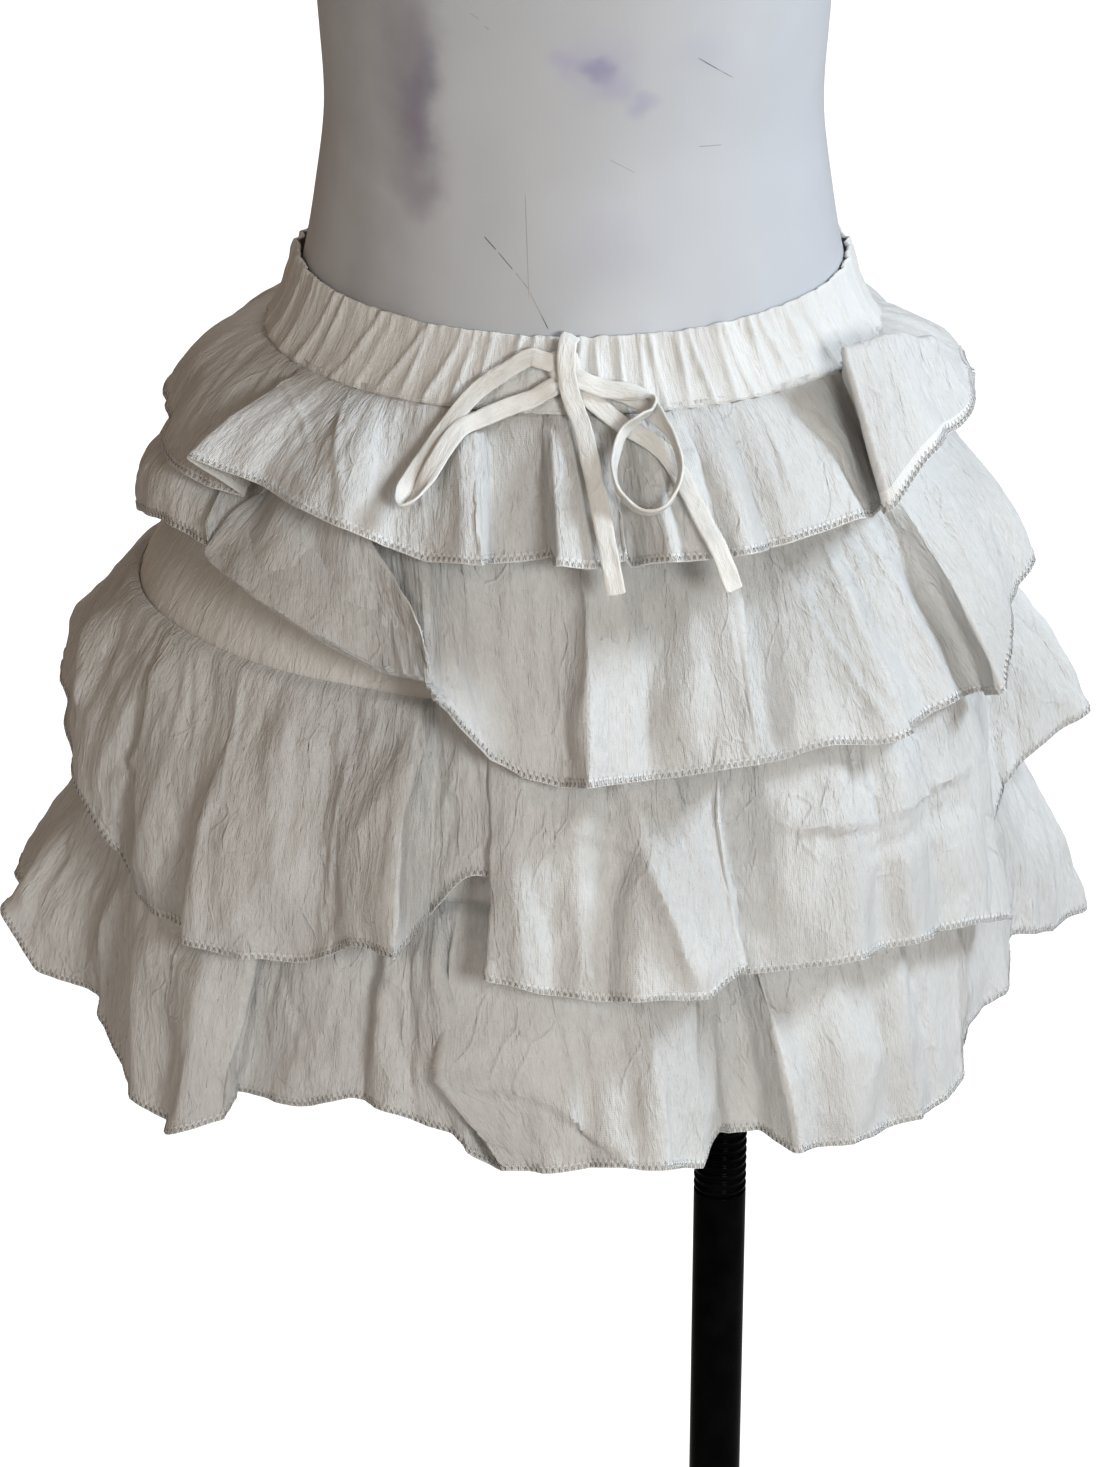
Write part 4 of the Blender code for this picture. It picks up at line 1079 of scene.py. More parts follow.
# Creases. Columns: fold it starts at and share down (0 seam, 1 hem), where it ends, and
# bow (how far its middle lies off a straight line, in folds), half width and height in
# millimetres. A height under 0 is a trough. A fold of 13.5 is midway between 13 and 14.
# A crease with one more number is a step: the cloth rises slowly to it and drops sharply,
# to the right of its direction at 1 and to the left at -1.
CREASES = {
    1: (
        (10.6, 0.02, 12.2, 0.55, 0.1, 1.6, 1.3),
        (12.2, 0.05, 13.2, 0.95, 0.05, 1.5, 1.2),
        (13.5, 0.02, 13.8, 0.80, 0.0, 2.0, -1.2),
        (15.4, 0.02, 15.2, 0.90, 0.1, 1.6, 1.0),
        (19.6, 0.05, 19.9, 0.95, 0.0, 1.6, 1.2),
        (22.5, 0.02, 22.7, 0.85, 0.1, 1.8, 1.1),
        (24.4, 0.02, 24.2, 0.90, 0.05, 1.8, -1.2),
        (26.6, 0.02, 26.4, 0.75, 0.1, 1.7, 1.2),
        (27.5, 0.10, 28.4, 0.85, 0.1, 2.2, -1.2),
        (28.7, 0.02, 28.9, 0.85, 0.1, 1.8, 1.1),
        (32.5, 0.15, 34.0, 0.70, 0.1, 2.4, -0.9),
        (33.6, 0.30, 32.4, 0.85, 0.1, 2.6, 0.8),
        (35.6, 0.10, 35.0, 0.90, 0.1, 2.2, 1.0),
        (38.3, 0.05, 38.8, 0.80, 0.1, 2.0, 1.0),
        (40.4, 0.05, 40.2, 0.90, 0.1, 2.2, -1.1),
        (1.4, 0.05, 1.8, 0.90, 0.1, 2.0, 1.0),
        (3.3, 0.05, 3.1, 0.80, 0.1, 2.2, 1.0),
        (5.5, 0.10, 5.2, 0.85, 0.1, 2.4, -1.0),
        (7.7, 0.10, 8.2, 0.80, 0.1, 2.2, 1.0),
    ),
    2: (
        (16.7, 0.05, 17.7, 0.92, 0.2, 2.2, -1.3),
        (16.2, 0.20, 16.7, 0.95, 0.1, 2.0, 1.0),
        (18.6, 0.10, 18.4, 0.75, 0.1, 2.6, 1.2),
        (19.5, 0.20, 19.4, 0.97, 0.0, 2.4, -1.2),
        (20.3, 0.10, 20.6, 0.90, 0.1, 2.0, 1.0),
        (21.4, 0.15, 21.6, 0.85, 0.1, 3.0, -1.1),
        (21.9, 0.20, 21.9, 0.95, 0.0, 2.0, 0.8),
        (24.6, 0.18, 26.8, 1.0, 0.0, 3.4, 4.2, -1),
        (22.2, 0.12, 22.55, 1.0, 0.0, 3.2, 3.6, -1),
        (27.4, 0.15, 28.1, 0.95, 0.0, 3.0, -2.6),
        (28.5, 0.20, 28.8, 0.85, 0.1, 2.0, 1.0),
        (29.6, 0.10, 29.9, 0.90, 0.1, 2.0, 1.0),
        (31.5, 0.20, 31.2, 0.85, 0.1, 2.4, -1.0),
        (12.4, 0.62, 13.5, 0.92, 0.15, 2.8, 1.0),
        (13.3, 0.60, 14.4, 0.90, 0.1, 2.4, -0.9),
        (11.6, 0.66, 12.0, 0.95, 0.1, 2.0, 0.9),
        (14.3, 0.58, 14.9, 0.80, 0.1, 2.0, 0.8),
        (33.5, 0.15, 33.9, 0.85, 0.1, 2.4, 1.1),
        (35.5, 0.10, 35.2, 0.80, 0.1, 2.4, -1.2),
        (37.4, 0.10, 37.9, 0.85, 0.1, 2.2, 1.0),
        (39.4, 0.10, 39.8, 0.90, 0.1, 2.4, 1.1),
        (1.5, 0.10, 1.3, 0.90, 0.1, 2.4, -1.1),
        (3.4, 0.15, 3.9, 0.80, 0.1, 2.2, 1.1),
        (5.6, 0.10, 5.3, 0.85, 0.1, 2.4, 1.0),
        (8.4, 0.15, 8.2, 0.80, 0.1, 2.8, -1.0),
    ),
    3: (
        (9.7, 0.05, 9.2, 0.85, 0.35, 2.4, 1.6),
        (10.2, 0.02, 10.6, 0.60, 0.15, 2.0, -1.1),
        (11.2, 0.02, 11.4, 0.55, 0.1, 1.8, 1.1),
        (11.7, 0.05, 12.2, 0.45, 0.1, 1.8, 0.9),
        (12.4, 0.02, 12.6, 0.80, 0.1, 2.2, -1.0),
        (10.6, 0.55, 11.8, 0.62, 0.0, 3.0, 0.8),
        (12.0, 0.70, 13.2, 0.66, 0.0, 3.0, -0.8),
        (13.5, 0.20, 13.3, 0.90, 0.1, 2.2, 0.9),
        (17.4, 0.25, 17.7, 0.95, 0.1, 2.0, 1.2),
        (19.9, 0.50, 20.9, 0.44, 0.0, 3.2, 3.4, 1),
        (20.9, 0.44, 22.1, 0.50, 0.0, 3.2, 3.6, 1),
        (20.3, 0.62, 22.1, 0.58, 0.0, 4.0, -1.0),
        (22.1, 0.48, 22.9, 0.99, 0.0, 3.6, 6.0, 1),
        (21.3, 0.38, 22.9, 0.12, 0.0, 3.0, 3.0, 1),
        (20.0, 0.08, 20.2, 0.48, 0.1, 3.0, 2.4),
        (21.6, 0.10, 22.3, 0.50, 0.1, 2.2, 1.2),
        (22.8, 0.25, 23.8, 0.97, 0.1, 2.2, 1.5),
        (24.4, 0.20, 24.2, 0.85, 0.1, 2.4, -1.1),
        (26.0, 0.50, 27.4, 0.55, 0.0, 3.0, 4.6, 1),
        (27.4, 0.55, 29.6, 0.47, 0.0, 3.0, 4.6, 1),
        (27.0, 0.66, 29.4, 0.58, 0.0, 4.0, -2.2),
        (27.4, 0.55, 27.2, 0.12, 0.0, 3.0, 3.0, -1),
        (27.5, 0.05, 27.2, 0.40, 0.1, 2.2, 1.1),
        (28.4, 0.55, 29.2, 0.95, 0.1, 2.2, 0.9),
        (29.5, 0.10, 29.8, 0.85, 0.1, 2.4, -1.0),
        (34.3, 0.15, 34.6, 0.80, 0.1, 2.2, 1.1),
        (35.6, 0.10, 35.3, 0.90, 0.1, 2.6, -1.1),
        (37.5, 0.10, 37.9, 0.80, 0.1, 2.4, 1.1),
        (39.3, 0.10, 39.8, 0.55, 0.1, 2.4, 1.2),
        (0.6, 0.10, 0.3, 0.90, 0.1, 2.6, -1.2),
        (2.5, 0.10, 2.9, 0.85, 0.1, 2.4, 1.1),
        (4.5, 0.10, 4.2, 0.75, 0.1, 2.6, 1.1),
        (6.4, 0.15, 6.8, 0.90, 0.1, 2.8, -1.1),
        (8.3, 0.15, 8.4, 0.80, 0.1, 2.4, 1.0),
    ),
    4: (
        (9.6, 0.10, 9.3, 0.80, 0.15, 2.4, 1.0),
        (10.6, 0.15, 11.0, 0.98, 0.1, 2.2, 1.4),
        (11.6, 0.30, 11.9, 0.90, 0.1, 2.6, -1.1),
        (12.4, 0.20, 12.3, 0.85, 0.1, 2.0, 0.9),
        (15.4, 0.15, 16.6, 0.95, -0.4, 2.2, 1.2),
        (15.6, 0.55, 17.2, 0.62, 0.1, 2.0, 1.0),
        (15.4, 0.66, 17.0, 0.74, 0.1, 2.0, -1.0),
        (15.8, 0.78, 17.4, 0.84, 0.1, 2.0, 0.9),
        (17.4, 0.25, 18.4, 0.85, 0.1, 2.4, -1.0),
        (19.6, 0.30, 19.9, 0.85, 0.1, 2.4, 1.0),
        (21.0, 0.56, 22.0, 0.72, 0.0, 3.0, 5.0, 1),
        (22.0, 0.72, 23.2, 0.97, 0.0, 3.0, 5.0, 1),
        (23.0, 0.05, 22.5, 0.75, 0.0, 2.8, 3.4, -1),
        (22.3, 0.10, 22.6, 0.75, 0.1, 2.2, 1.1),
        (23.4, 0.15, 23.8, 0.90, 0.1, 2.0, 1.2),
        (24.4, 0.10, 24.2, 0.95, 0.1, 2.4, -1.2),
        (27.6, 0.20, 27.9, 0.80, 0.1, 2.2, 1.0),
        (29.5, 0.25, 29.4, 0.95, 0.1, 2.4, 1.2),
        (30.4, 0.10, 30.7, 0.80, 0.1, 2.6, -1.1),
        (31.5, 0.30, 31.8, 0.95, 0.1, 2.0, 1.0),
        (38.4, 0.10, 38.2, 0.85, 0.1, 2.4, 1.1),
        (40.4, 0.10, 40.8, 0.90, 0.1, 2.6, -1.1),
        (42.5, 0.10, 42.2, 0.80, 0.1, 2.4, 1.1),
        (44.5, 0.10, 44.8, 0.85, 0.1, 2.4, 1.0),
        (1.4, 0.10, 1.2, 0.90, 0.1, 2.6, -1.1),
        (3.5, 0.10, 3.9, 0.85, 0.1, 2.4, 1.1),
        (5.5, 0.10, 5.3, 0.75, 0.1, 2.6, 1.0),
        (7.4, 0.20, 7.2, 0.90, 0.1, 2.8, -1.1),
    ),
}


# Facets: where the cloth stands forward of its form (+) or back (-), in millimetres at the
# hem. Columns: fold, push. Between two rows the push changes evenly, so each pair of rows
# makes one flat facet; its hem rises as it comes forward.
FACETS = {
    1: (
        (0.0, 3), (1.4, -4), (2.0, 2), (3.3, -3), (4.4, 4), (5.5, -3), (6.4, 3), (7.3, -4), (8.4, 4), (9.4, 0),
        (10.0, 0), (11.0, 5), (11.8, -3), (12.5, 6), (13.1, 6), (13.9, -4), (14.1, -6), (15.3, -2), (15.7, 2), (16.0, 0),
        (17.5, -2), (19.0, 3), (20.0, 1), (20.9, -7), (22.2, -4), (23.0, 5), (23.5, -1), (23.9, 4), (24.4, 0), (24.8, 5),
        (25.7, -3), (26.2, 3), (27.2, -2), (28.6, 3), (30.0, -2), (31.0, 0), (32.0, 2), (32.7, -2), (33.2, 3),
        (34.3, -3), (35.2, 3), (36.4, -3), (37.4, 4), (38.5, -3), (39.4, 3), (40.5, -4),
    ),
    2: (
        (0.0, 4), (1.4, -5), (2.3, 5), (3.5, -4), (4.3, 4), (5.6, -5), (6.6, 4), (7.5, -4), (8.5, 4), (9.5, 0),
        (10.0, 0), (15.0, 0), (16.0, 3), (17.0, -5), (17.6, -8), (18.4, -4), (19.0, -1), (19.4, 0), (19.75, 3), (19.98, 11), (20.9, -9),
        (21.35, -1), (22.0, -1), (23.0, -3), (24.9, -2), (25.6, 0), (26.9, 4), (27.3, -2), (28.2, -4), (28.9, 4), (29.6, 3),
        (30.1, 7), (31.0, 3), (32.2, -5), (33.3, 4), (34.4, -4),
        (35.4, 5), (36.5, -4), (37.5, 4), (38.4, -5), (39.5, 4), (40.5, -4),
    ),
    3: (
        (0.0, 4), (1.3, -5), (2.4, 5), (3.4, -5), (4.5, 5), (5.6, -4), (6.5, 5), (7.6, -4), (8.6, 5), (9.6, -5),
        (10.3, 3), (10.8, 1), (11.25, 14), (12.2, 3), (13.2, -11), (13.6, -10), (14.9, 9), (16.0, -2), (18.0, -2), (19.0, 0),
        (19.7, 4), (20.3, -2), (20.8, 2), (21.5, -3), (22.05, 6), (22.85, 3), (23.95, -11), (24.6, -9), (25.6, -3),
        (26.9, 8), (27.5, -1), (27.9, 5), (28.6, -6), (29.4, 5), (30.0, 0), (33.0, 0), (34.0, 2), (34.8, -4),
        (35.6, 5), (36.6, -5), (37.5, 5), (38.5, -5), (39.4, 5), (40.5, -5),
    ),
    4: (
        (0.0, 4), (1.4, -5), (2.3, 5), (3.5, -5), (4.4, 5), (5.4, -5), (6.5, 4), (7.5, -3), (8.4, 2), (9.4, -3),
        (10.3, 4), (11.0, -4), (11.8, 5), (12.4, -3), (13.3, 6), (14.0, -3), (15.0, 4), (15.8, 0), (16.6, -2),
        (17.3, -8), (17.7, 0), (18.4, -3), (19.4, 5), (20.0, -6), (21.0, -8), (21.6, -7), (22.0, -3), (22.6, -3), (23.0, 4), (23.5, 5),
        (24.0, 12), (25.0, -7), (26.0, -3), (27.0, -3), (28.0, -2), (29.0, 5), (29.5, -2), (30.0, 3), (30.8, -4),
        (31.2, 5), (31.9, -6), (33.0, 0), (37.0, 0), (38.2, -3), (39.2, 3), (40.3, -5), (41.4, 5), (42.5, -5),
        (43.4, 5), (44.4, -4), (45.4, 4),
    ),
}
# Crumpling. Columns: width and length of a facet in millimetres, lean (facets across for each
# metre down), height in millimetres, seed.
CRUMPLE = (
    (40, 56, 5.0, 4.2, 151),
    (20, 32, -9.0, 2.0, 161),
    (9.5, 19, 14.0, 0.95, 171),
    (4.6, 11, -18.0, 0.30, 181),
)
# How crumpled each tier is.
CRUMPLED = {1: 0.55, 2: 0.85, 3: 1.15, 4: 1.05}
# How far a tier's top edge is drawn in to what it is sewn to, and up, in millimetres.
TUCK = {1: (1.9, 1.9), 2: (2.6, 0.6), 3: (2.9, 0.4), 4: (2.6, 0.6)}


def fold_line(tier, row, v):
    """The line of one fold at the shares v of its length, from seam to hem."""
    seam, hem, reach, height, swell = row[:5]
    start, end = seam_point(tier, seam), point(hem, reach, height)
    v = np.asarray(v, float)[:, None]
    if len(row) > 6:
        turn = point(*row[6:9])
        before = start + (turn - start) * (v / TURN_AT)
        after = turn + (end - turn) * ((v - TURN_AT) / (1 - TURN_AT))
        a = start + (turn - start) * ((TURN_AT - TURN_HALF) / TURN_AT)
        b = turn + (end - turn) * (TURN_HALF / (1 - TURN_AT))
        q = (v - TURN_AT + TURN_HALF) / (2 * TURN_HALF)
        rounded = (1 - q) ** 2 * a + 2 * q * (1 - q) * turn + q**2 * b
        return np.where(np.abs(v - TURN_AT) < TURN_HALF, rounded, np.where(v < TURN_AT, before, after))
    middle = math.radians((seam + hem) / 2)
    out = np.array((math.sin(middle), -math.cos(middle), 0.55))
    control = (start + end) / 2 + 2 * swell * MM * out / np.linalg.norm(out)
    return (1 - v) ** 2 * start + 2 * v * (1 - v) * control + v**2 * end


def tier_places(tier, front, back):
    """Where the columns go: close together at each fold's rounding, evenly between."""
    rows = TIERS[tier]
    count = len(rows)
    places = []
    ends = [point(*row[1:4]) for row in rows]
    for i in range(count):
        j = (i + 1) % count
        gap = float(np.linalg.norm(ends[j] - ends[i]))
        middle = math.radians(rows[i][1])
        density = front if math.cos(middle) > -0.17 else back
        steps = max(6, int(round(gap * density)))
        here, there = rows[i][5], rows[j][5]
        edge = max(3, min(6, steps // 4))
        marks = np.concatenate((
            np.linspace(0, here, edge, endpoint=False),
            np.linspace(here, 1 - there, max(3, steps - 2 * edge), endpoint=False),
            np.linspace(1 - there, 1, edge, endpoint=False),
        ))
        places.extend(i + np.unique(np.round(marks, 6)))
    return np.array(places)


def tier_form(tier, u, v):
    """Points of the tier's form at folds u and shares v: an array (across, down, 3)."""
    rows = TIERS[tier]
    count = len(rows)
    lines = np.array([fold_line(tier, row, v) for row in rows])
    i = np.floor(u).astype(int) % count
    t = (u - np.floor(u))[:, None, None]
    j = (i + 1) % count
    here, there, before, after = lines[i], lines[j], lines[i - 1], lines[(j + 1) % count]
    soft = 0.6 * np.array([row[5] for row in rows])
    s, e = np.maximum(soft[i], 1e-4)[:, None, None], np.maximum(soft[j], 1e-4)[:, None, None]
    q = 0.5 + t / (2 * s)
    first = (1 - q) ** 2 * (here + s * (before - here)) + 2 * q * (1 - q) * here + q**2 * (here + s * (there - here))
    q = 0.5 - (1 - t) / (2 * e)
    last = (1 - q) ** 2 * (there + e * (here - there)) + 2 * q * (1 - q) * there + q**2 * (there + e * (after - there))
    grid = np.where(t < s, first, np.where(t > 1 - e, last, here + t * (there - here)))
    seam = np.array([row[0] for row in rows], float)
    step = seam[j] - seam[i] + np.where(j == 0, 360, 0)
    degrees = seam[i] + t[:, 0, 0] * step
    ring = np.array([seam_point(tier, d) for d in degrees])
    return grid + (ring - grid[:, 0])[:, None, :] * ((1 - v) ** 3)[None, :, None]


def bump_profile(x):
    """A ridge with a crisp crest and straight flanks."""
    return np.clip(1.06 - np.sqrt((x / 1.8) ** 2 + 0.0036), 0, 1)


def facet(x, y, seed, period):
    """Flat facets with straight creases: heights joined over triangles that are pushed out of true."""
    xx = x + 0.34 * noise(x, y, seed + 5, period)
    yy = y + 0.34 * noise(x, y + 7.3, seed + 6, period)
    ix, iy = np.floor(xx), np.floor(yy)
    fx, fy = xx - ix, yy - iy
    near, far = np.mod(ix, period), np.mod(ix + 1, period)
    a, b = hashed(near, iy, seed), hashed(far, iy, seed)
    c, d = hashed(near, iy + 1, seed), hashed(far, iy + 1, seed)
    one = np.where(fx > fy, a + (b - a) * fx + (d - b) * fy, a + (d - c) * fx + (c - a) * fy)
    two = np.where(fx + fy < 1, a + (b - a) * fx + (c - a) * fy, d + (c - d) * (1 - fx) + (b - d) * (1 - fy))
    return np.where(hashed(near, iy, seed + 9) > 0, one, two)


def creased(x, y, seed, period, soft=0.10):
    """Flat facets with creases between them: slow noise folded along its zero lines."""
    value = noise(x, y, seed, period)
    return 1.0 - np.sqrt(value * value + soft * soft) * 2.0


def build_tier(tier):
    rng = np.random.default_rng(400 + tier)
    rows_down, front, back, gather, run, depth = FINENESS[tier]
    rows = TIERS[tier]
    count = len(rows)
    u = tier_places(tier, front, back)
    # Rows crowd at the seam and at the hem.
    v = np.linspace(0, 1, rows_down)
    v = v - 0.035 * np.sin(2 * math.pi * v)
    v = np.unique(np.round(np.concatenate((v, (0.955, 0.985, 0.995))), 5))
    form = tier_form(tier, u, v)
    across, down = form.shape[:2]
    # Facets and the sewn-down top edge.
    marks = np.array(FACETS[tier], float)
    push = sum(np.interp(u + step, marks[:, 0], marks[:, 1], period=count) for step in (-0.05, 0.0, 0.05)) / 3
    flat = np.stack((form[:, -1, 0] - FORM_AXIS_X, form[:, -1, 1]), 1)
    flat /= np.linalg.norm(flat, axis=1)[:, None]
    grow = 1 - (1 - v) ** 2.6
    move = push[:, None] * MM * grow[None, :]
    form[:, :, 0] += flat[:, None, 0] * move
    form[:, :, 1] += flat[:, None, 1] * move
    form[:, :, 2] += 0.49 * move * np.clip(-flat[:, 1], 0, 1)[:, None]
    normal = normals_of(form, True)
    lengths = np.linalg.norm(np.diff(form, axis=1), axis=2).sum(1)
    hem = np.concatenate(([0.0], np.cumsum(np.linalg.norm(np.diff(form[:, -1], axis=0), axis=1))))
    girth = hem[-1] + np.linalg.norm(form[0, -1] - form[-1, -1])
    seam = np.concatenate(([0.0], np.cumsum(np.linalg.norm(np.diff(form[:, 0], axis=0), axis=1))))
    seam_girth = seam[-1] + np.linalg.norm(form[0, 0] - form[-1, 0])
    drop = v[None, :] * lengths[:, None]
    rise = np.zeros((across, down))

    # Gathers at the seam: soft ridges of uneven width and length.
    places, at = [], 0.0
    while at < seam_girth - 0.003:
        places.append(at)
        at += gather * MM * rng.uniform(0.55, 1.5)
    for place in places:
        wide = gather * MM * rng.uniform(0.22, 0.42)
        long_ = run * MM * rng.uniform(0.35, 1.6)
        tall = depth * MM * rng.uniform(0.5, 1.5) * (1 if rng.random() < 0.72 else -1)
        lean = rng.uniform(-0.10, 0.10)
        off = seam[:, None] - place - lean * drop
        off = (off + seam_girth / 2) % seam_girth - seam_girth / 2
        width = wide * (1 + 0.6 * drop / long_)
        fade = np.exp(-((drop / long_) ** 1.6)) * np.clip(0.30 + drop / 0.006, 0, 1)
        rise += tall * bump_profile(off / width) * fade
    rise -= 0.25 * depth * MM * np.exp(-((drop / (run * MM)) ** 2))

    # Crinkles of washed cotton, longer down the cloth than across it, and slow waves.
    around = hem[:, None] / girth
    cells = int(round(girth / 0.011))
    rise += 0.34 * MM * noise(around * cells + 0 * drop, drop / 0.034, 21 + tier, cells)
    cells = int(round(girth / 0.0055))
    rise += 0.16 * MM * noise(around * cells + 0 * drop, drop / 0.016, 31 + tier, cells)
    cells = int(round(girth / 0.030))
    rise += 0.9 * MM * noise(around * cells + 0 * drop, drop / 0.055, 41 + tier, cells) * np.clip(drop / 0.03, 0, 1)
    # Crumpling left by wear and packing: flat facets with creases at any lie.
    free = np.clip(drop / 0.025, 0, 1)
    for wide, long_, lean, tall, seed in CRUMPLE:
        cells = int(round(girth / (wide * MM)))
        rise += CRUMPLED[tier] * tall * MM * facet(around * cells + drop * lean, drop / (long_ * MM), seed + tier, cells) * free
    cells = int(round(girth / 0.050))
    rise += 0.9 * MM * creased(around * cells + drop / 0.11, drop / 0.060, 81 + tier, cells, 0.04) * free

    # The listed creases.
    place_u = u[:, None] + 0 * drop
    share = np.broadcast_to(v[None, :], drop.shape)
    pitch = np.gradient(np.concatenate((hem, [girth])))[:-1] / np.maximum(np.gradient(np.concatenate((u, [count])))[:-1], 1e-3)
    seam_pitch = np.gradient(np.concatenate((seam, [seam_girth])))[:-1] / np.maximum(np.gradient(np.concatenate((u, [count])))[:-1], 1e-3)
    per_fold = np.clip(seam_pitch[:, None] * (1 - share) + pitch[:, None] * share, 0.004, 0.05)
    for u0, v0, u1, v1, bow, half, tall, *step in CREASES[tier]:
        du = (place_u - u0 + count / 2) % count - count / 2
        long_ = float(lengths.mean())
        cu = (u1 - u0)
        cv = (v1 - v0)
        mid_fold = 0.016
        q = np.clip((du * cu * mid_fold**2 + (share - v0) * cv * long_**2) / (cu**2 * mid_fold**2 + cv**2 * long_**2), 0, 1)
        line_u = q * cu + bow * 4 * q * (1 - q)
        line_v = v0 + q * cv
        gap = np.hypot((du - line_u) * per_fold, (share - line_v) * long_)
        taper = np.sin(np.pi * np.clip(q, 0.04, 0.96)) ** 0.5
        if step:
            # Which side a point lies on: columns run to the wearer's left, seen from outside.
            ahead_u, ahead_v = (cu + bow * 4 * (1 - 2 * q)) * mid_fold, cv * long_
            across_u, across_v = (du - line_u) * per_fold, (share - line_v) * long_
            side = np.sign(ahead_u * across_v - ahead_v * across_u) * step[0]
            slow = np.exp(-gap / (4.5 * half * MM))
            fast = np.clip(1 - gap / (0.75 * half * MM), 0, 1)
            rise += tall * MM * taper * np.where(side < 0, slow, fast)
            continue
        near = gap / (half * MM * (0.7 + 0.5 * q))
        rise += 1.4 * tall * MM * taper * (bump_profile(near) - 0.25 * bump_profile(near / 2.4))

    # The hem flutters, and its overlocked edge is a little thicker.
    to_hem = lengths[:, None] - drop
    cells = int(round(girth / 0.024))
    rise += 1.1 * MM * noise(around * cells + 0 * drop, 0.4 + 0 * drop, 71 + tier, cells) * np.exp(-to_hem / 0.014)
    cells = int(round(girth / 0.008))
    rise += 0.45 * MM * noise(around * cells + 0 * drop, 0.4 + 0 * drop, 81 + tier, cells) * np.exp(-to_hem / 0.006)
    rise += 0.25 * MM * np.clip((0.0052 - to_hem) / 0.0007, 0, 1)

    # Side seams: a narrow groove with the cloth drawn up on both sides of it.
    for place in SIDE_SEAMS[tier]:
        gap = np.abs((place_u - place + count / 2) % count - count / 2) * per_fold
        rise -= 0.7 * MM * bump_profile(gap / 0.0011)
        rise += 0.4 * MM * bump_profile((gap - 0.003) / 0.0018) * (0.6 + 0.4 * np.sin(drop / 0.0035))

    # Near the seam the cloth stays on its form, and its edge is sewn down.
    rise *= np.clip(0.25 + drop / 0.012, 0.25, 1)
    tuck, lift = TUCK[tier]
    pull = np.exp(-((drop / 0.0026) ** 2))
    rise -= tuck * MM * pull
    outer = form + normal * (0.8 * MM + rise)[:, :, None]
    outer[:, :, 2] += lift * MM * pull
    behind = []
    for inn, up in ((3.4, 3.6), (2.7, 0.5)):
        row = outer[:, :1].copy()
        row[:, 0, :2] -= flat * inn * MM
        row[:, 0, 2] += up * MM
        behind.append(row)
    if tier == 1:
        outer = np.concatenate((*behind, outer), 1)
        form = np.concatenate((form[:, :1], form[:, :1], form), 1)
        drop = np.concatenate((drop[:, :1] - 0.006, drop[:, :1] - 0.003, drop), 1)
        v = np.concatenate(([0.0, 0.0], v))
    # Fine unevenness of the hem line itself.
    cells = int(round(girth / 0.013))
    ragged = 0.5 * MM * noise(around[:, 0] * cells, 0.3, 91 + tier, cells)
    outer[:, -1, 2] += ragged
    outer[:, -2, 2] += 0.8 * ragged
    return form, outer, hem, girth, drop, lengths, u, v


def shared_uv(hem, drop):
    return np.stack((np.broadcast_to(hem[:, None], drop.shape), -drop), 2)


def overlock(name, outer, pitch=0.0030):
    """The overlocking of a hem: thread that crosses the edge in loops, as one joined mesh."""
    edge, inside = outer[:, -1], None
    normal = normals_of(outer, True)
    run = np.concatenate(([0.0], np.cumsum(np.linalg.norm(np.diff(edge, axis=0), axis=1))))
    girth = run[-1] + np.linalg.norm(edge[0] - edge[-1])
    closed = np.concatenate((edge, edge[:1]))
    where = np.concatenate((run, [girth]))
    up = outer[:, -5] - outer[:, -1]
    up /= np.maximum(np.linalg.norm(up, axis=1), 1e-9)[:, None]
    ups = np.concatenate((up, up[:1]))
    outs = np.concatenate((normal[:, -2], normal[:1, -2]))
    # Points on the outside sheet at a given height over the hem.
    columns = np.concatenate((outer, outer[:1]))
    heights = np.linalg.norm(columns - columns[:, -1:], axis=2)
    loops = int(girth / pitch)
    points = []
    rng = np.random.default_rng(7)
    for n in range(loops):
        for share, rise in ((0.0, 0.0004), (0.35, 0.0043), (0.6, 0.0004), (0.8, 0.0024)):
            s = (n + share + rng.uniform(-0.03, 0.03)) * pitch
            s = min(max(s, 0), girth)
            k = int(np.searchsorted(where, s) - 1)
            k = min(max(k, 0), len(where) - 2)
            t = (s - where[k]) / max(where[k + 1] - where[k], 1e-9)
            # Walk up both neighbouring columns.
            spots = []
            for c in (k, k + 1):
                h = heights[c][::-1]
                m = int(np.searchsorted(h, rise))
                m = min(max(m, 1), len(h) - 1)
                w = (rise - h[m - 1]) / max(h[m] - h[m - 1], 1e-9)
                col = columns[c][::-1]
                spots.append(col[m - 1] * (1 - w) + col[m] * w)
            p = spots[0] * (1 - t) + spots[1] * t
            o = outs[k] * (1 - t) + outs[k + 1] * t
            o /= max(np.linalg.norm(o), 1e-9)
            points.append(p + o * 0.00014)
    return thread_tube(name, np.array(points), 0.00038, 4)


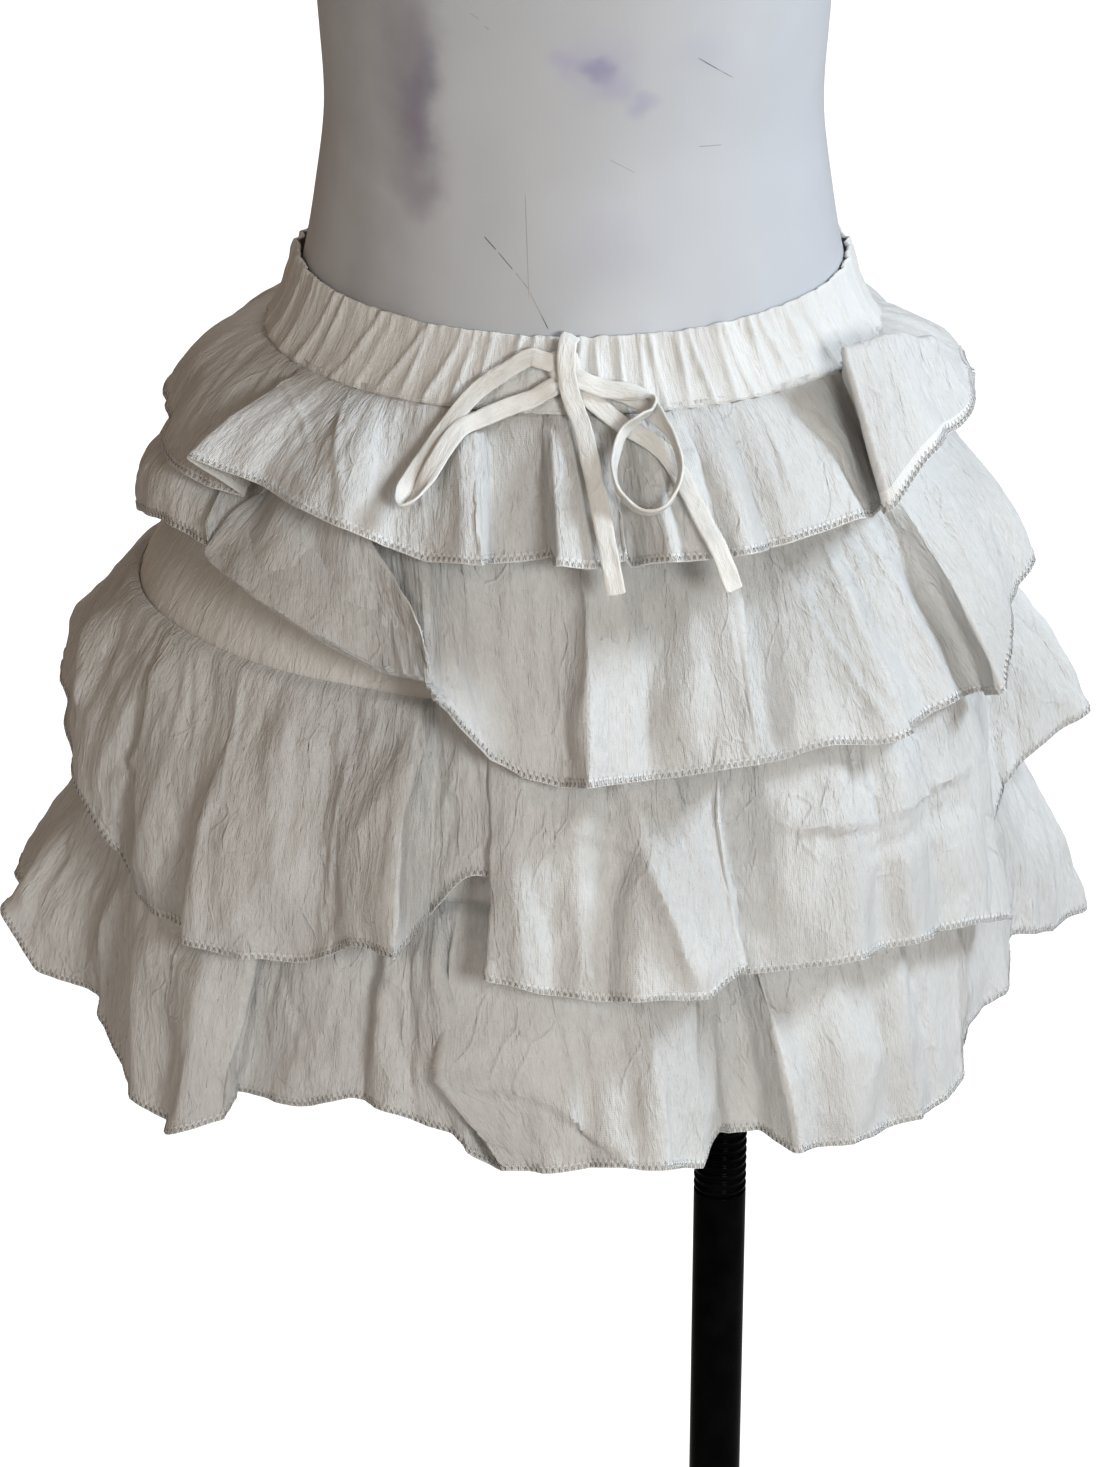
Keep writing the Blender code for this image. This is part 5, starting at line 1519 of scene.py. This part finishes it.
def thread_tube(name, route, radius, sides=3, breaks=None):
    """A thin tube of thread along a route; breaks lists the points where the thread stops."""
    along = np.gradient(route, axis=0)
    along /= np.maximum(np.linalg.norm(along, axis=1), 1e-9)[:, None]
    side = np.cross(along, np.array((0.13, 0.21, 0.97)))
    side /= np.maximum(np.linalg.norm(side, axis=1), 1e-9)[:, None]
    other = np.cross(side, along)
    angles = 2 * np.pi * np.arange(sides) / sides
    rings = route[:, None, :] + radius * (
        side[:, None, :] * np.cos(angles)[None, :, None] + other[:, None, :] * np.sin(angles)[None, :, None]
    )
    count = len(route)
    k = np.arange(count - 1)
    if breaks is not None:
        k = k[~np.isin(k, breaks)]
    faces = []
    for a in range(sides):
        b = (a + 1) % sides
        faces.append(np.stack((k * sides + a, k * sides + b, (k + 1) * sides + b, (k + 1) * sides + a), 1))
    obj = mesh_object(name, rings.reshape(-1, 3), np.concatenate(faces), THREAD)
    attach(obj, "root")
    return obj


def make_tiers():
    made = {}
    for tier in TIERS:
        form, outer, hem, girth, drop, lengths, u, v = build_tier(tier)
        first = int(np.searchsorted(v, 1 - 0.0042 / float(lengths.mean())))
        # The hem band takes the lighter edge cotton, which is partly painted light.
        obj = shell(f"tier_{tier}", outer, CLOTH, COTTON, shared_uv(hem, drop), smooth=60, edge=(first, COTTON_EDGE_THREAD_AND_PAINTED_LIGHT))
        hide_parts(f"tier_{tier}_front", f"tier_{tier}_back")
        stitches = overlock(f"tier_{tier}_overlock", outer)
        made[tier] = obj
        print("tier", tier, "columns", len(u), "rows", len(v), "hem", round(girth, 3), "drop", round(float(lengths.mean()), 3))
    return made


make_tiers()

# ---------------------------------------------------------------- waistband

# Ridges of the waistband in front. Columns: degrees at the bottom, lean (degrees the top
# lies further to the wearer's left), half width and height in millimetres.
BAND_RIDGES = (
    (-86, 2, 1.4, 1.0), (-80, 3, 1.2, 1.2), (-73, 2, 1.8, 0.9), (-67, 4, 1.2, 1.3), (-62, 2, 1.0, 1.1),
    (-55, 6, 1.1, 1.4), (-49, 3, 1.6, 1.0), (-44, 7, 1.1, 1.5), (-38.5, 2, 1.0, 1.3), (-33, 5, 1.2, 1.5),
    (-27, 2, 1.1, 1.2), (-22, 1, 1.3, 1.2), (-17.5, 4, 1.0, 1.4), (-11, 1, 1.2, 1.3), (-6, 0, 1.2, 1.0),
    (0.5, 1, 1.2, 1.2), (6, -1, 1.0, 1.3), (11, 0, 1.2, 1.3), (15.5, 1, 1.0, 1.2), (20, -1, 1.1, 1.4),
    (25, 1, 1.2, 1.4), (30.5, -2, 1.0, 1.3), (35, 1, 1.2, 1.4), (39.5, -2, 1.1, 1.2), (45, -1, 1.2, 1.4),
    (50, -3, 1.1, 1.3), (56, -2, 1.3, 1.2), (62, -3, 1.2, 1.4), (67, -2, 1.1, 1.2), (73, -3, 1.4, 1.2),
    (79, -2, 1.3, 1.3), (85, -2, 1.3, 1.0),
)


def build_waistband():
    rng = np.random.default_rng(12)
    ridges = list(BAND_RIDGES)
    at = 91.0
    while at < 270:
        ridges.append((at, rng.uniform(-5, 5), rng.uniform(1.0, 1.7), rng.uniform(0.9, 1.5)))
        at += rng.uniform(4.2, 7.5)
    across, rows_down = 620, 30
    degrees = -180 + 360 * np.arange(across) / across
    z = np.array([row[0] for row in BAND], float)
    profile = smooth_route([(row[0], row[1], row[2], row[3]) for row in BAND], 12)
    run = run_lengths(profile[:, [0, 1]])
    v = np.linspace(0, 1, rows_down)
    rows = np.stack([np.interp(v * run[-1], run, profile[:, k]) for k in range(4)], 1)
    grid = np.empty((across, rows_down, 3))
    for n, d in enumerate(degrees):
        dip = max(0.0, math.cos(math.radians(d)))
        for k in range(rows_down):
            height, wide, deep, fall = rows[k]
            grid[n, k] = point(d, ring_radius(d, wide, wide, deep), height + fall * dip)
    normal = normals_of(grid, True)
    girth = float(np.linalg.norm(np.roll(grid[:, -1], -1, 0) - grid[:, -1], axis=1).sum())
    arc = degrees / 360 * girth
    tall = run[-1] * MM
    rise = np.zeros((across, rows_down))
    share = v[None, :]
    for bottom, lean, half, height in ridges:
        centre = (bottom + lean * (1 - share)) / 360 * girth
        gap = (arc[:, None] - centre + girth / 2) % girth - girth / 2
        sharp = np.exp(-np.minimum(np.abs(gap / (1.5 * half * MM)) ** 1.25, 40))
        rise += height * MM * 1.75 * sharp * (0.78 + 0.22 * np.sin(share * 5 + bottom))
    # Short gathers at the top edge and at the seam below.
    at = 0.0
    while at < girth:
        wide = rng.uniform(0.0010, 0.0018)
        long_ = rng.uniform(0.12, 0.34)
        height = rng.uniform(0.3, 0.9) * MM
        gap = (arc[:, None] - at + girth / 2) % girth - girth / 2
        rise += height * bump_profile(gap / wide) * np.exp(-((share / long_) ** 2))
        at += rng.uniform(0.0030, 0.0058)
    at = 0.0
    while at < girth:
        wide = rng.uniform(0.0011, 0.0020)
        long_ = rng.uniform(0.10, 0.30)
        height = rng.uniform(0.2, 0.8) * MM
        gap = (arc[:, None] - at + girth / 2) % girth - girth / 2
        rise += height * bump_profile(gap / wide) * np.exp(-(((1 - share) / long_) ** 2))
        at += rng.uniform(0.0035, 0.0075)
    cells = int(girth / 0.012)
    rise += 0.5 * MM * noise(arc[:, None] / girth * cells + 0 * share, share * 2.2, 5, cells)
    # The casing is fullest midway, and drawn in at the top edge and at the seam.
    rise += 0.5 * MM * np.sin(np.pi * share) - 1.0 * MM
    rise -= 0.7 * MM * bump_profile((1 - share) / 0.035)
    grid = grid + normal * rise[:, :, None]
    # The scalloped top edge.
    cells = int(girth / 0.0052)
    scallop = 0.55 * MM * noise(arc / girth * cells, 0.5, 6, cells) + 0.3 * MM * noise(arc / girth * 97, 0.5, 8, 97)
    grid[:, :, 2] += scallop[:, None] * np.exp(-((share / 0.10) ** 2))
    # Round the top edge over towards the form.
    inward = -normal[:, :1] * np.array((1.0, 1.0, 0.0))
    roll = []
    for k, (inn, up) in enumerate(((2.1, -0.6), (1.6, 0.0), (0.9, 0.35), (0.35, 0.30))):
        roll.append(grid[:, :1] + inward * inn * MM + np.array((0, 0, up * MM)))
    full = np.concatenate((*roll, grid), 1)
    drop = np.concatenate(([0.0], np.cumsum(np.linalg.norm(np.diff(full, axis=1), axis=2).mean(0))))
    uv = np.stack((np.broadcast_to(arc[:, None] * 1.8, full.shape[:2]), np.broadcast_to(-drop[None, :], full.shape[:2])), 2)
    obj = shell("waistband_casing", full, 0.6 * MM, COTTON_BAND, uv)
    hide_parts("waistband")
    # The row of stitches that shows as dark dashes in the seam.
    route, breaks = [], []
    n = 0
    step = 0.0034
    total = int(girth / step)
    low = full[:, -2] + normals_of(full, True)[:, -2] * 0.25 * MM
    lowc = np.concatenate((low, low[:1]))
    where = np.linspace(0, girth, across + 1)
    for k in range(total):
        for share_ in (0.06, 0.34, 0.62):
            s = (k + share_) * step
            i = min(int(s / girth * across), across - 1)
            t = s / girth * across - i
            route.append(lowc[i] * (1 - t) + lowc[i + 1] * t)
        breaks.append(3 * k + 2)
    stitches = thread_tube("waistband_stitches", np.array(route), 0.00022, 3, np.array(breaks))
    return obj


build_waistband()

# ---------------------------------------------------------------- base skirt and shorts


def rings_shell(name, rows, across, rows_down, seed, material, nodes, wave, pleat):
    """A tube of cloth on rings of height, half width right, left and half depth."""
    profile = smooth_route(rows, 10)
    run = run_lengths(profile[:, [0, 1]])
    v = np.linspace(0, 1, rows_down)
    table = np.stack([np.interp(v * run[-1], run, profile[:, k]) for k in range(4)], 1)
    degrees = -180 + 360 * np.arange(across) / across
    grid = np.empty((across, rows_down, 3))
    for n, d in enumerate(degrees):
        for k in range(rows_down):
            grid[n, k] = point(d, ring_radius(d, table[k][1], table[k][2], table[k][3]), table[k][0])
    normal = normals_of(grid, True)
    around = np.arange(across)[:, None] / across
    girth = float(np.linalg.norm(np.roll(grid[:, -1], -1, 0) - grid[:, -1], axis=1).sum())
    drop = v[None, :] * run[-1] * MM + 0 * around
    rise = wave * MM * noise(around * 26 + 0 * drop, drop / 0.06, seed, 26)
    rise += 0.35 * wave * MM * noise(around * 90 + 0 * drop, drop / 0.03, seed + 1, 90)
    rise += pleat * MM * noise(around * 120 + 0 * drop, 0.5 + 0 * drop, seed + 2, 120) * np.exp(-drop / 0.02)
    for side in (0.25, 0.75):
        gap = np.abs((around - side + 0.5) % 1 - 0.5) * girth
        rise -= 0.5 * MM * bump_profile(gap / 0.0012) - 0.25 * MM * bump_profile((gap - 0.0035) / 0.002)
    rise -= wave * 0.9 * MM
    outer = grid + normal * rise[:, :, None]
    uv = np.stack((np.broadcast_to(around * girth, drop.shape), -drop), 2)
    obj = shell(name, outer, CLOTH, material, uv)
    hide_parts(*nodes)
    return obj


rings_shell(
    "base_skirt", BASE_SKIRT, 220, 36, 101, COTTON_UNDER, ("base_skirt_front", "base_skirt_back"),
    0.5, 0.5,
)


def build_shorts():
    """Both legs: each leg an oval, cut open along the middle above the crotch, with a turned hem."""
    rows = [(h, c, w, d) for h, c, w, d in SHORTS]
    profile = smooth_route(rows, 8)
    run = run_lengths(profile[:, [0, 1]])
    total = float(np.linalg.norm(np.diff(profile[:, [0, 3]], axis=0), axis=1).sum())
    v = np.linspace(0, 1, 44)
    path = run_lengths(profile[:, [0, 3]])
    table = np.stack([np.interp(v * path[-1], path, profile[:, k]) for k in range(4)], 1)
    for name, side in (("shorts_right", -1), ("shorts_left", 1)):
        across = 90
        grid = np.empty((across, len(table), 3))
        for k, (height, centre, wide, deep) in enumerate(table):
            edge = max(0.008, math.acos(min(1.0, (centre - 0.3) / wide)))
            turn = math.pi - edge
            for n in range(across):
                angle = -turn + 2 * turn * n / (across - 1)
                x = centre + wide * math.cos(angle)
                grid[n, k] = (FORM_AXIS_X + side * x * MM, deep * math.sin(angle) * MM, height * MM)
        if side < 0:
            grid = grid[::-1].copy()
        normal = normals_of(grid, False)
        around = np.linspace(0, 1, across)[:, None]
        drop = v[None, :] * path[-1] * MM + 0 * around
        rise = 0.5 * MM * noise(around * 14 + 0 * drop, drop / 0.05, 201 + side, None)
        rise += 0.2 * MM * noise(around * 60 + 0 * drop, drop / 0.025, 203 + side, None)
        rise -= 0.4 * MM
        to_hem = path[-1] * MM - drop
        rise += 0.35 * MM * np.clip((0.014 - to_hem) / 0.001, 0, 1)
        rise -= 0.35 * MM * bump_profile((to_hem - 0.0135) / 0.0008)
        middle = np.minimum(around, 1 - around)
        rise *= np.clip(middle / 0.03, 0, 1)
        outer = grid + normal * rise[:, :, None]
        girth = float(np.linalg.norm(np.diff(grid, axis=0), axis=2).sum(0).max())
        uv = np.stack((np.broadcast_to(around * girth, drop.shape), -drop), 2)
        obj = shell(name + "_leg", outer, CLOTH, COTTON_UNDER, uv, closed=False)
        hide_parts(name)


build_shorts()

# ---------------------------------------------------------------- dress form


def build_form():
    profile = smooth_route(FORM, 8)
    run = run_lengths(profile[:, [0, 1]])
    path = run_lengths(profile[:, [0, 1, 2]])
    v = np.linspace(0, path[-1], 190)
    rows = np.stack([np.interp(v, path, profile[:, k]) for k in range(4)], 1)
    sides = 120
    t = 2 * np.pi * np.arange(sides) / sides
    grid = np.stack((
        FORM_AXIS_X + rows[:, 1][None, :] * MM * np.sin(t)[:, None],
        -(rows[:, 2][None, :] * np.cos(t)[:, None] + rows[:, 3][None, :]) * MM,
        np.broadcast_to(rows[:, 0][None, :] * MM, (sides, len(rows))),
    ), 2)
    points = grid.reshape(-1, 3)
    down = len(rows)
    faces = [grid_quads(sides, down, True)[:, ::-1]]
    # Flat ends, closed with quads across.
    for k, flip in ((0, False), (down - 1, True)):
        ids = np.arange(sides) * down + k
        for a in range(sides // 2 - 1):
            quad = np.array((ids[a], ids[a + 1], ids[sides - 2 - a], ids[sides - 1 - a]))[None, :]
            faces.append(quad if flip else quad[:, ::-1])
    faces = np.concatenate(faces)
    p = [points[faces[:, n]] for n in range(4)]
    volume = np.einsum("ij,ij->i", p[0], np.cross(p[1], p[2])).sum() + np.einsum("ij,ij->i", p[0], np.cross(p[2], p[3])).sum()
    if volume < 0:
        faces = faces[:, ::-1]
    obj = mesh_object("form", points, faces, FORM_PAINT, smooth=50)
    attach(obj, "root")
    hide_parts("form_torso")
    return obj


build_form()

# ---------------------------------------------------------------- stand


def turned(name, profile, node, material, steps=96, smooth=35):
    """A profile of radius and height, from the top down its outer side, turned round the pole's axis."""
    profile = np.array(profile, float)
    points, faces = [], []
    for r, z in profile:
        if r < 1e-9:
            points.append([(0.0, 0.0, z)])
        else:
            points.append([(r * math.cos(2 * math.pi * k / steps), r * math.sin(2 * math.pi * k / steps), z) for k in range(steps)])
    starts = np.cumsum([0] + [len(ring) for ring in points])
    flat = [p for ring in points for p in ring]
    mesh = bpy.data.meshes.new(name)
    for i in range(len(points) - 1):
        a, b = starts[i], starts[i + 1]
        for k in range(steps):
            m = (k + 1) % steps
            if len(points[i]) == 1:
                faces.append((a, b + k, b + m))
            elif len(points[i + 1]) == 1:
                faces.append((a + k, b, a + m))
            else:
                faces.append((a + k, b + k, b + m, a + m))
    mesh.from_pydata(flat, [], faces)
    mesh.validate()
    mesh.shade_smooth()
    mesh.set_sharp_from_angle(angle=math.radians(smooth))
    mesh.materials.append(material)
    obj = bpy.data.objects.new(name, mesh)
    PIECES.objects.link(obj)
    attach(obj, "root")
    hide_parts(node)
    return obj


def rounded(corners, radius=0.0006, steps=3):
    """Rounds the corners of a profile; the first and last points stay."""
    corners = [np.array(c, float) for c in corners]
    out = [corners[0]]
    for a, b, c in zip(corners, corners[1:], corners[2:]):
        r = min(radius, 0.45 * np.linalg.norm(a - b), 0.45 * np.linalg.norm(c - b))
        p = b + (a - b) / np.linalg.norm(a - b) * r
        q = b + (c - b) / np.linalg.norm(c - b) * r
        for k in range(steps + 1):
            t = k / steps
            out.append((1 - t) ** 2 * p + 2 * t * (1 - t) * b + t * t * q)
    out.append(corners[-1])
    return out


def build_stand():
    base_r, base_edge, base_h = 175 * MM, 7 * MM, 16 * MM
    socket_r, socket_h = 24 * MM, 62 * MM
    thread_low, thread_high, pitch = 484 * MM, 534 * MM, 5 * MM
    thread_r, thread_d = 13.6 * MM, 1.2 * MM
    turned("base", rounded((
        (0, base_h), (socket_r + 8 * MM, base_h), (base_r * 0.6, base_h - 3 * MM), (base_r * 0.92, base_edge + 3 * MM),
        (base_r - 1.5 * MM, base_edge), (base_r, base_edge - 2 * MM), (base_r, 1.5 * MM), (base_r - 1.5 * MM, 0), (0, 0),
    ), 0.004), "stand_base", BASE_PAINT, 144)
    low = base_h + 0.3 * MM
    turned("socket", rounded((
        (POLE_RADIUS + 0.3 * MM, low + socket_h - 0.4 * MM), (POLE_RADIUS + 0.3 * MM, low + socket_h),
        (socket_r - 5 * MM, low + socket_h), (socket_r - 3 * MM, low + socket_h - 2 * MM),
        (socket_r - 3 * MM, low + 8 * MM), (socket_r + 4 * MM, low + 4 * MM), (socket_r + 4 * MM, low),
        (POLE_RADIUS + 0.3 * MM, low), (POLE_RADIUS + 0.3 * MM, low + socket_h - 0.4 * MM),
    ), 0.0008), "stand_socket", BASE_PAINT)
    turned("pole_lower", rounded((
        (0, thread_low - 0.3 * MM), (POLE_RADIUS, thread_low - 0.3 * MM), (POLE_RADIUS, low), (0, low),
    ), 0.0008), "stand_pole_lower", POLE_PAINT)
    profile = [(0, thread_high), (thread_r - thread_d, thread_high)]
    z = thread_high
    while z - pitch >= thread_low - 1e-6:
        for share, inn in ((0.10, 0.9), (0.20, 0.45), (0.30, 0.1), (0.45, 0.0), (0.60, 0.1), (0.72, 0.5), (0.84, 0.92), (1.0, 1.0)):
            profile.append((thread_r - thread_d * inn, z - pitch * share))
        z -= pitch
    profile.append((0, thread_low))
    turned("thread", profile, "stand_thread", POLE_PAINT, 72, 60)
    top = FORM[0][0] * MM - 0.3 * MM
    turned("pole_upper", rounded((
        (0, top), (POLE_RADIUS - 1 * MM, top), (POLE_RADIUS - 1 * MM, thread_high + 0.3 * MM), (0, thread_high + 0.3 * MM),
    ), 0.0008), "stand_pole_upper", POLE_PAINT)


build_stand()

# ---------------------------------------------------------------- floor and light


def floor_material():
    material = bpy.data.materials.new("floor")
    material.use_nodes = True
    nodes, links = material.node_tree.nodes, material.node_tree.links
    shader = nodes["Principled BSDF"]
    place = nodes.new("ShaderNodeTexCoord")
    tex = nodes.new("ShaderNodeTexNoise")
    tex.inputs["Scale"].default_value = 3
    links.new(place.outputs["Object"], tex.inputs["Vector"])
    ramp = nodes.new("ShaderNodeValToRGB")
    ramp.color_ramp.elements[0].color = (0.80, 0.80, 0.80, 1)
    ramp.color_ramp.elements[1].color = (0.84, 0.84, 0.84, 1)
    links.new(tex.outputs["Fac"], ramp.inputs["Fac"])
    links.new(ramp.outputs["Color"], shader.inputs["Base Color"])
    shader.inputs["Roughness"].default_value = 0.9
    # Seen straight on the studio floor is lit evenly white.
    glow = nodes.new("ShaderNodeEmission")
    glow.inputs["Color"].default_value = (1, 1, 1, 1)
    glow.inputs["Strength"].default_value = FLOOR_GLOW
    path = nodes.new("ShaderNodeLightPath")
    mix = nodes.new("ShaderNodeMixShader")
    links.new(path.outputs["Is Camera Ray"], mix.inputs["Fac"])
    links.new(shader.outputs["BSDF"], mix.inputs[1])
    both = nodes.new("ShaderNodeMixShader")
    both.inputs["Fac"].default_value = 0.86
    links.new(shader.outputs["BSDF"], both.inputs[1])
    links.new(glow.outputs["Emission"], both.inputs[2])
    links.new(both.outputs["Shader"], mix.inputs[2])
    links.new(mix.outputs["Shader"], nodes["Material Output"].inputs["Surface"])
    return material


FLOOR_GLOW = 1.14
floor_mesh = bpy.data.meshes.new("floor")
size = 12.0
floor_mesh.from_pydata([(-size, -size, 0), (size, -size, 0), (size, size, 0), (-size, size, 0)], [], [(0, 1, 2, 3)])
floor_mesh.materials.append(floor_material())
floor = bpy.data.objects.new("floor", floor_mesh)
STAGE.objects.link(floor)

CENTRE = (FORM_AXIS_X, 0.0, 0.82)


def area_light(name, azimuth, elevation, distance, wide, high, colour, power):
    """A soft box aimed at the skort. Azimuth 0 is in front and + is to the wearer's left."""
    a, e = math.radians(azimuth), math.radians(elevation)
    data = bpy.data.lights.new(name, "AREA")
    data.shape = "RECTANGLE"
    data.size, data.size_y = wide, high
    data.color = colour
    data.energy = power
    obj = bpy.data.objects.new(name, data)
    away = np.array((math.sin(a) * math.cos(e), -math.cos(a) * math.cos(e), math.sin(e)))
    obj.location = tuple(np.array(CENTRE) + away * distance)
    from mathutils import Vector

    obj.rotation_euler = Vector(tuple(-away)).to_track_quat("-Z", "Y").to_euler()
    STAGE.objects.link(obj)
    return obj


# name: azimuth, elevation, distance, width, height, colour, power
LIGHTS = {
    "window": (84, 40, 2.2, 0.5, 0.6, (0.76, 0.88, 1.0), 34),
    "front": (20, 20, 2.2, 0.45, 0.45, (0.97, 0.995, 1.0), 20),
    "fill": (-24, 26, 2.2, 0.6, 0.6, (1.0, 0.98, 0.94), 5.5),
    "back": (165, 30, 2.4, 1.2, 1.2, (0.96, 0.98, 1.0), 16),
}
for light_name, values in LIGHTS.items():
    area_light(light_name, *values)

world = bpy.data.worlds.new("studio")
world.use_nodes = True
bpy.context.scene.world = world
background = world.node_tree.nodes["Background"]
background.inputs["Color"].default_value = (1.0, 0.745, 0.535, 1)
background.inputs["Strength"].default_value = 0.215
wn, wl = world.node_tree.nodes, world.node_tree.links
seen = wn.new("ShaderNodeBackground")
seen.inputs["Color"].default_value = (1, 1, 1, 1)
seen.inputs["Strength"].default_value = 1.0
ray = wn.new("ShaderNodeLightPath")
pick = wn.new("ShaderNodeMixShader")
wl.new(ray.outputs["Is Camera Ray"], pick.inputs["Fac"])
wl.new(background.outputs["Background"], pick.inputs[1])
wl.new(seen.outputs["Background"], pick.inputs[2])
wl.new(pick.outputs["Shader"], wn["World Output"].inputs["Surface"])

bpy.context.scene.view_settings.view_transform = "Standard"
bpy.context.scene.view_settings.look = "None"
bpy.context.scene.view_settings.exposure = 0.21
bpy.context.scene.view_settings.gamma = 0.85
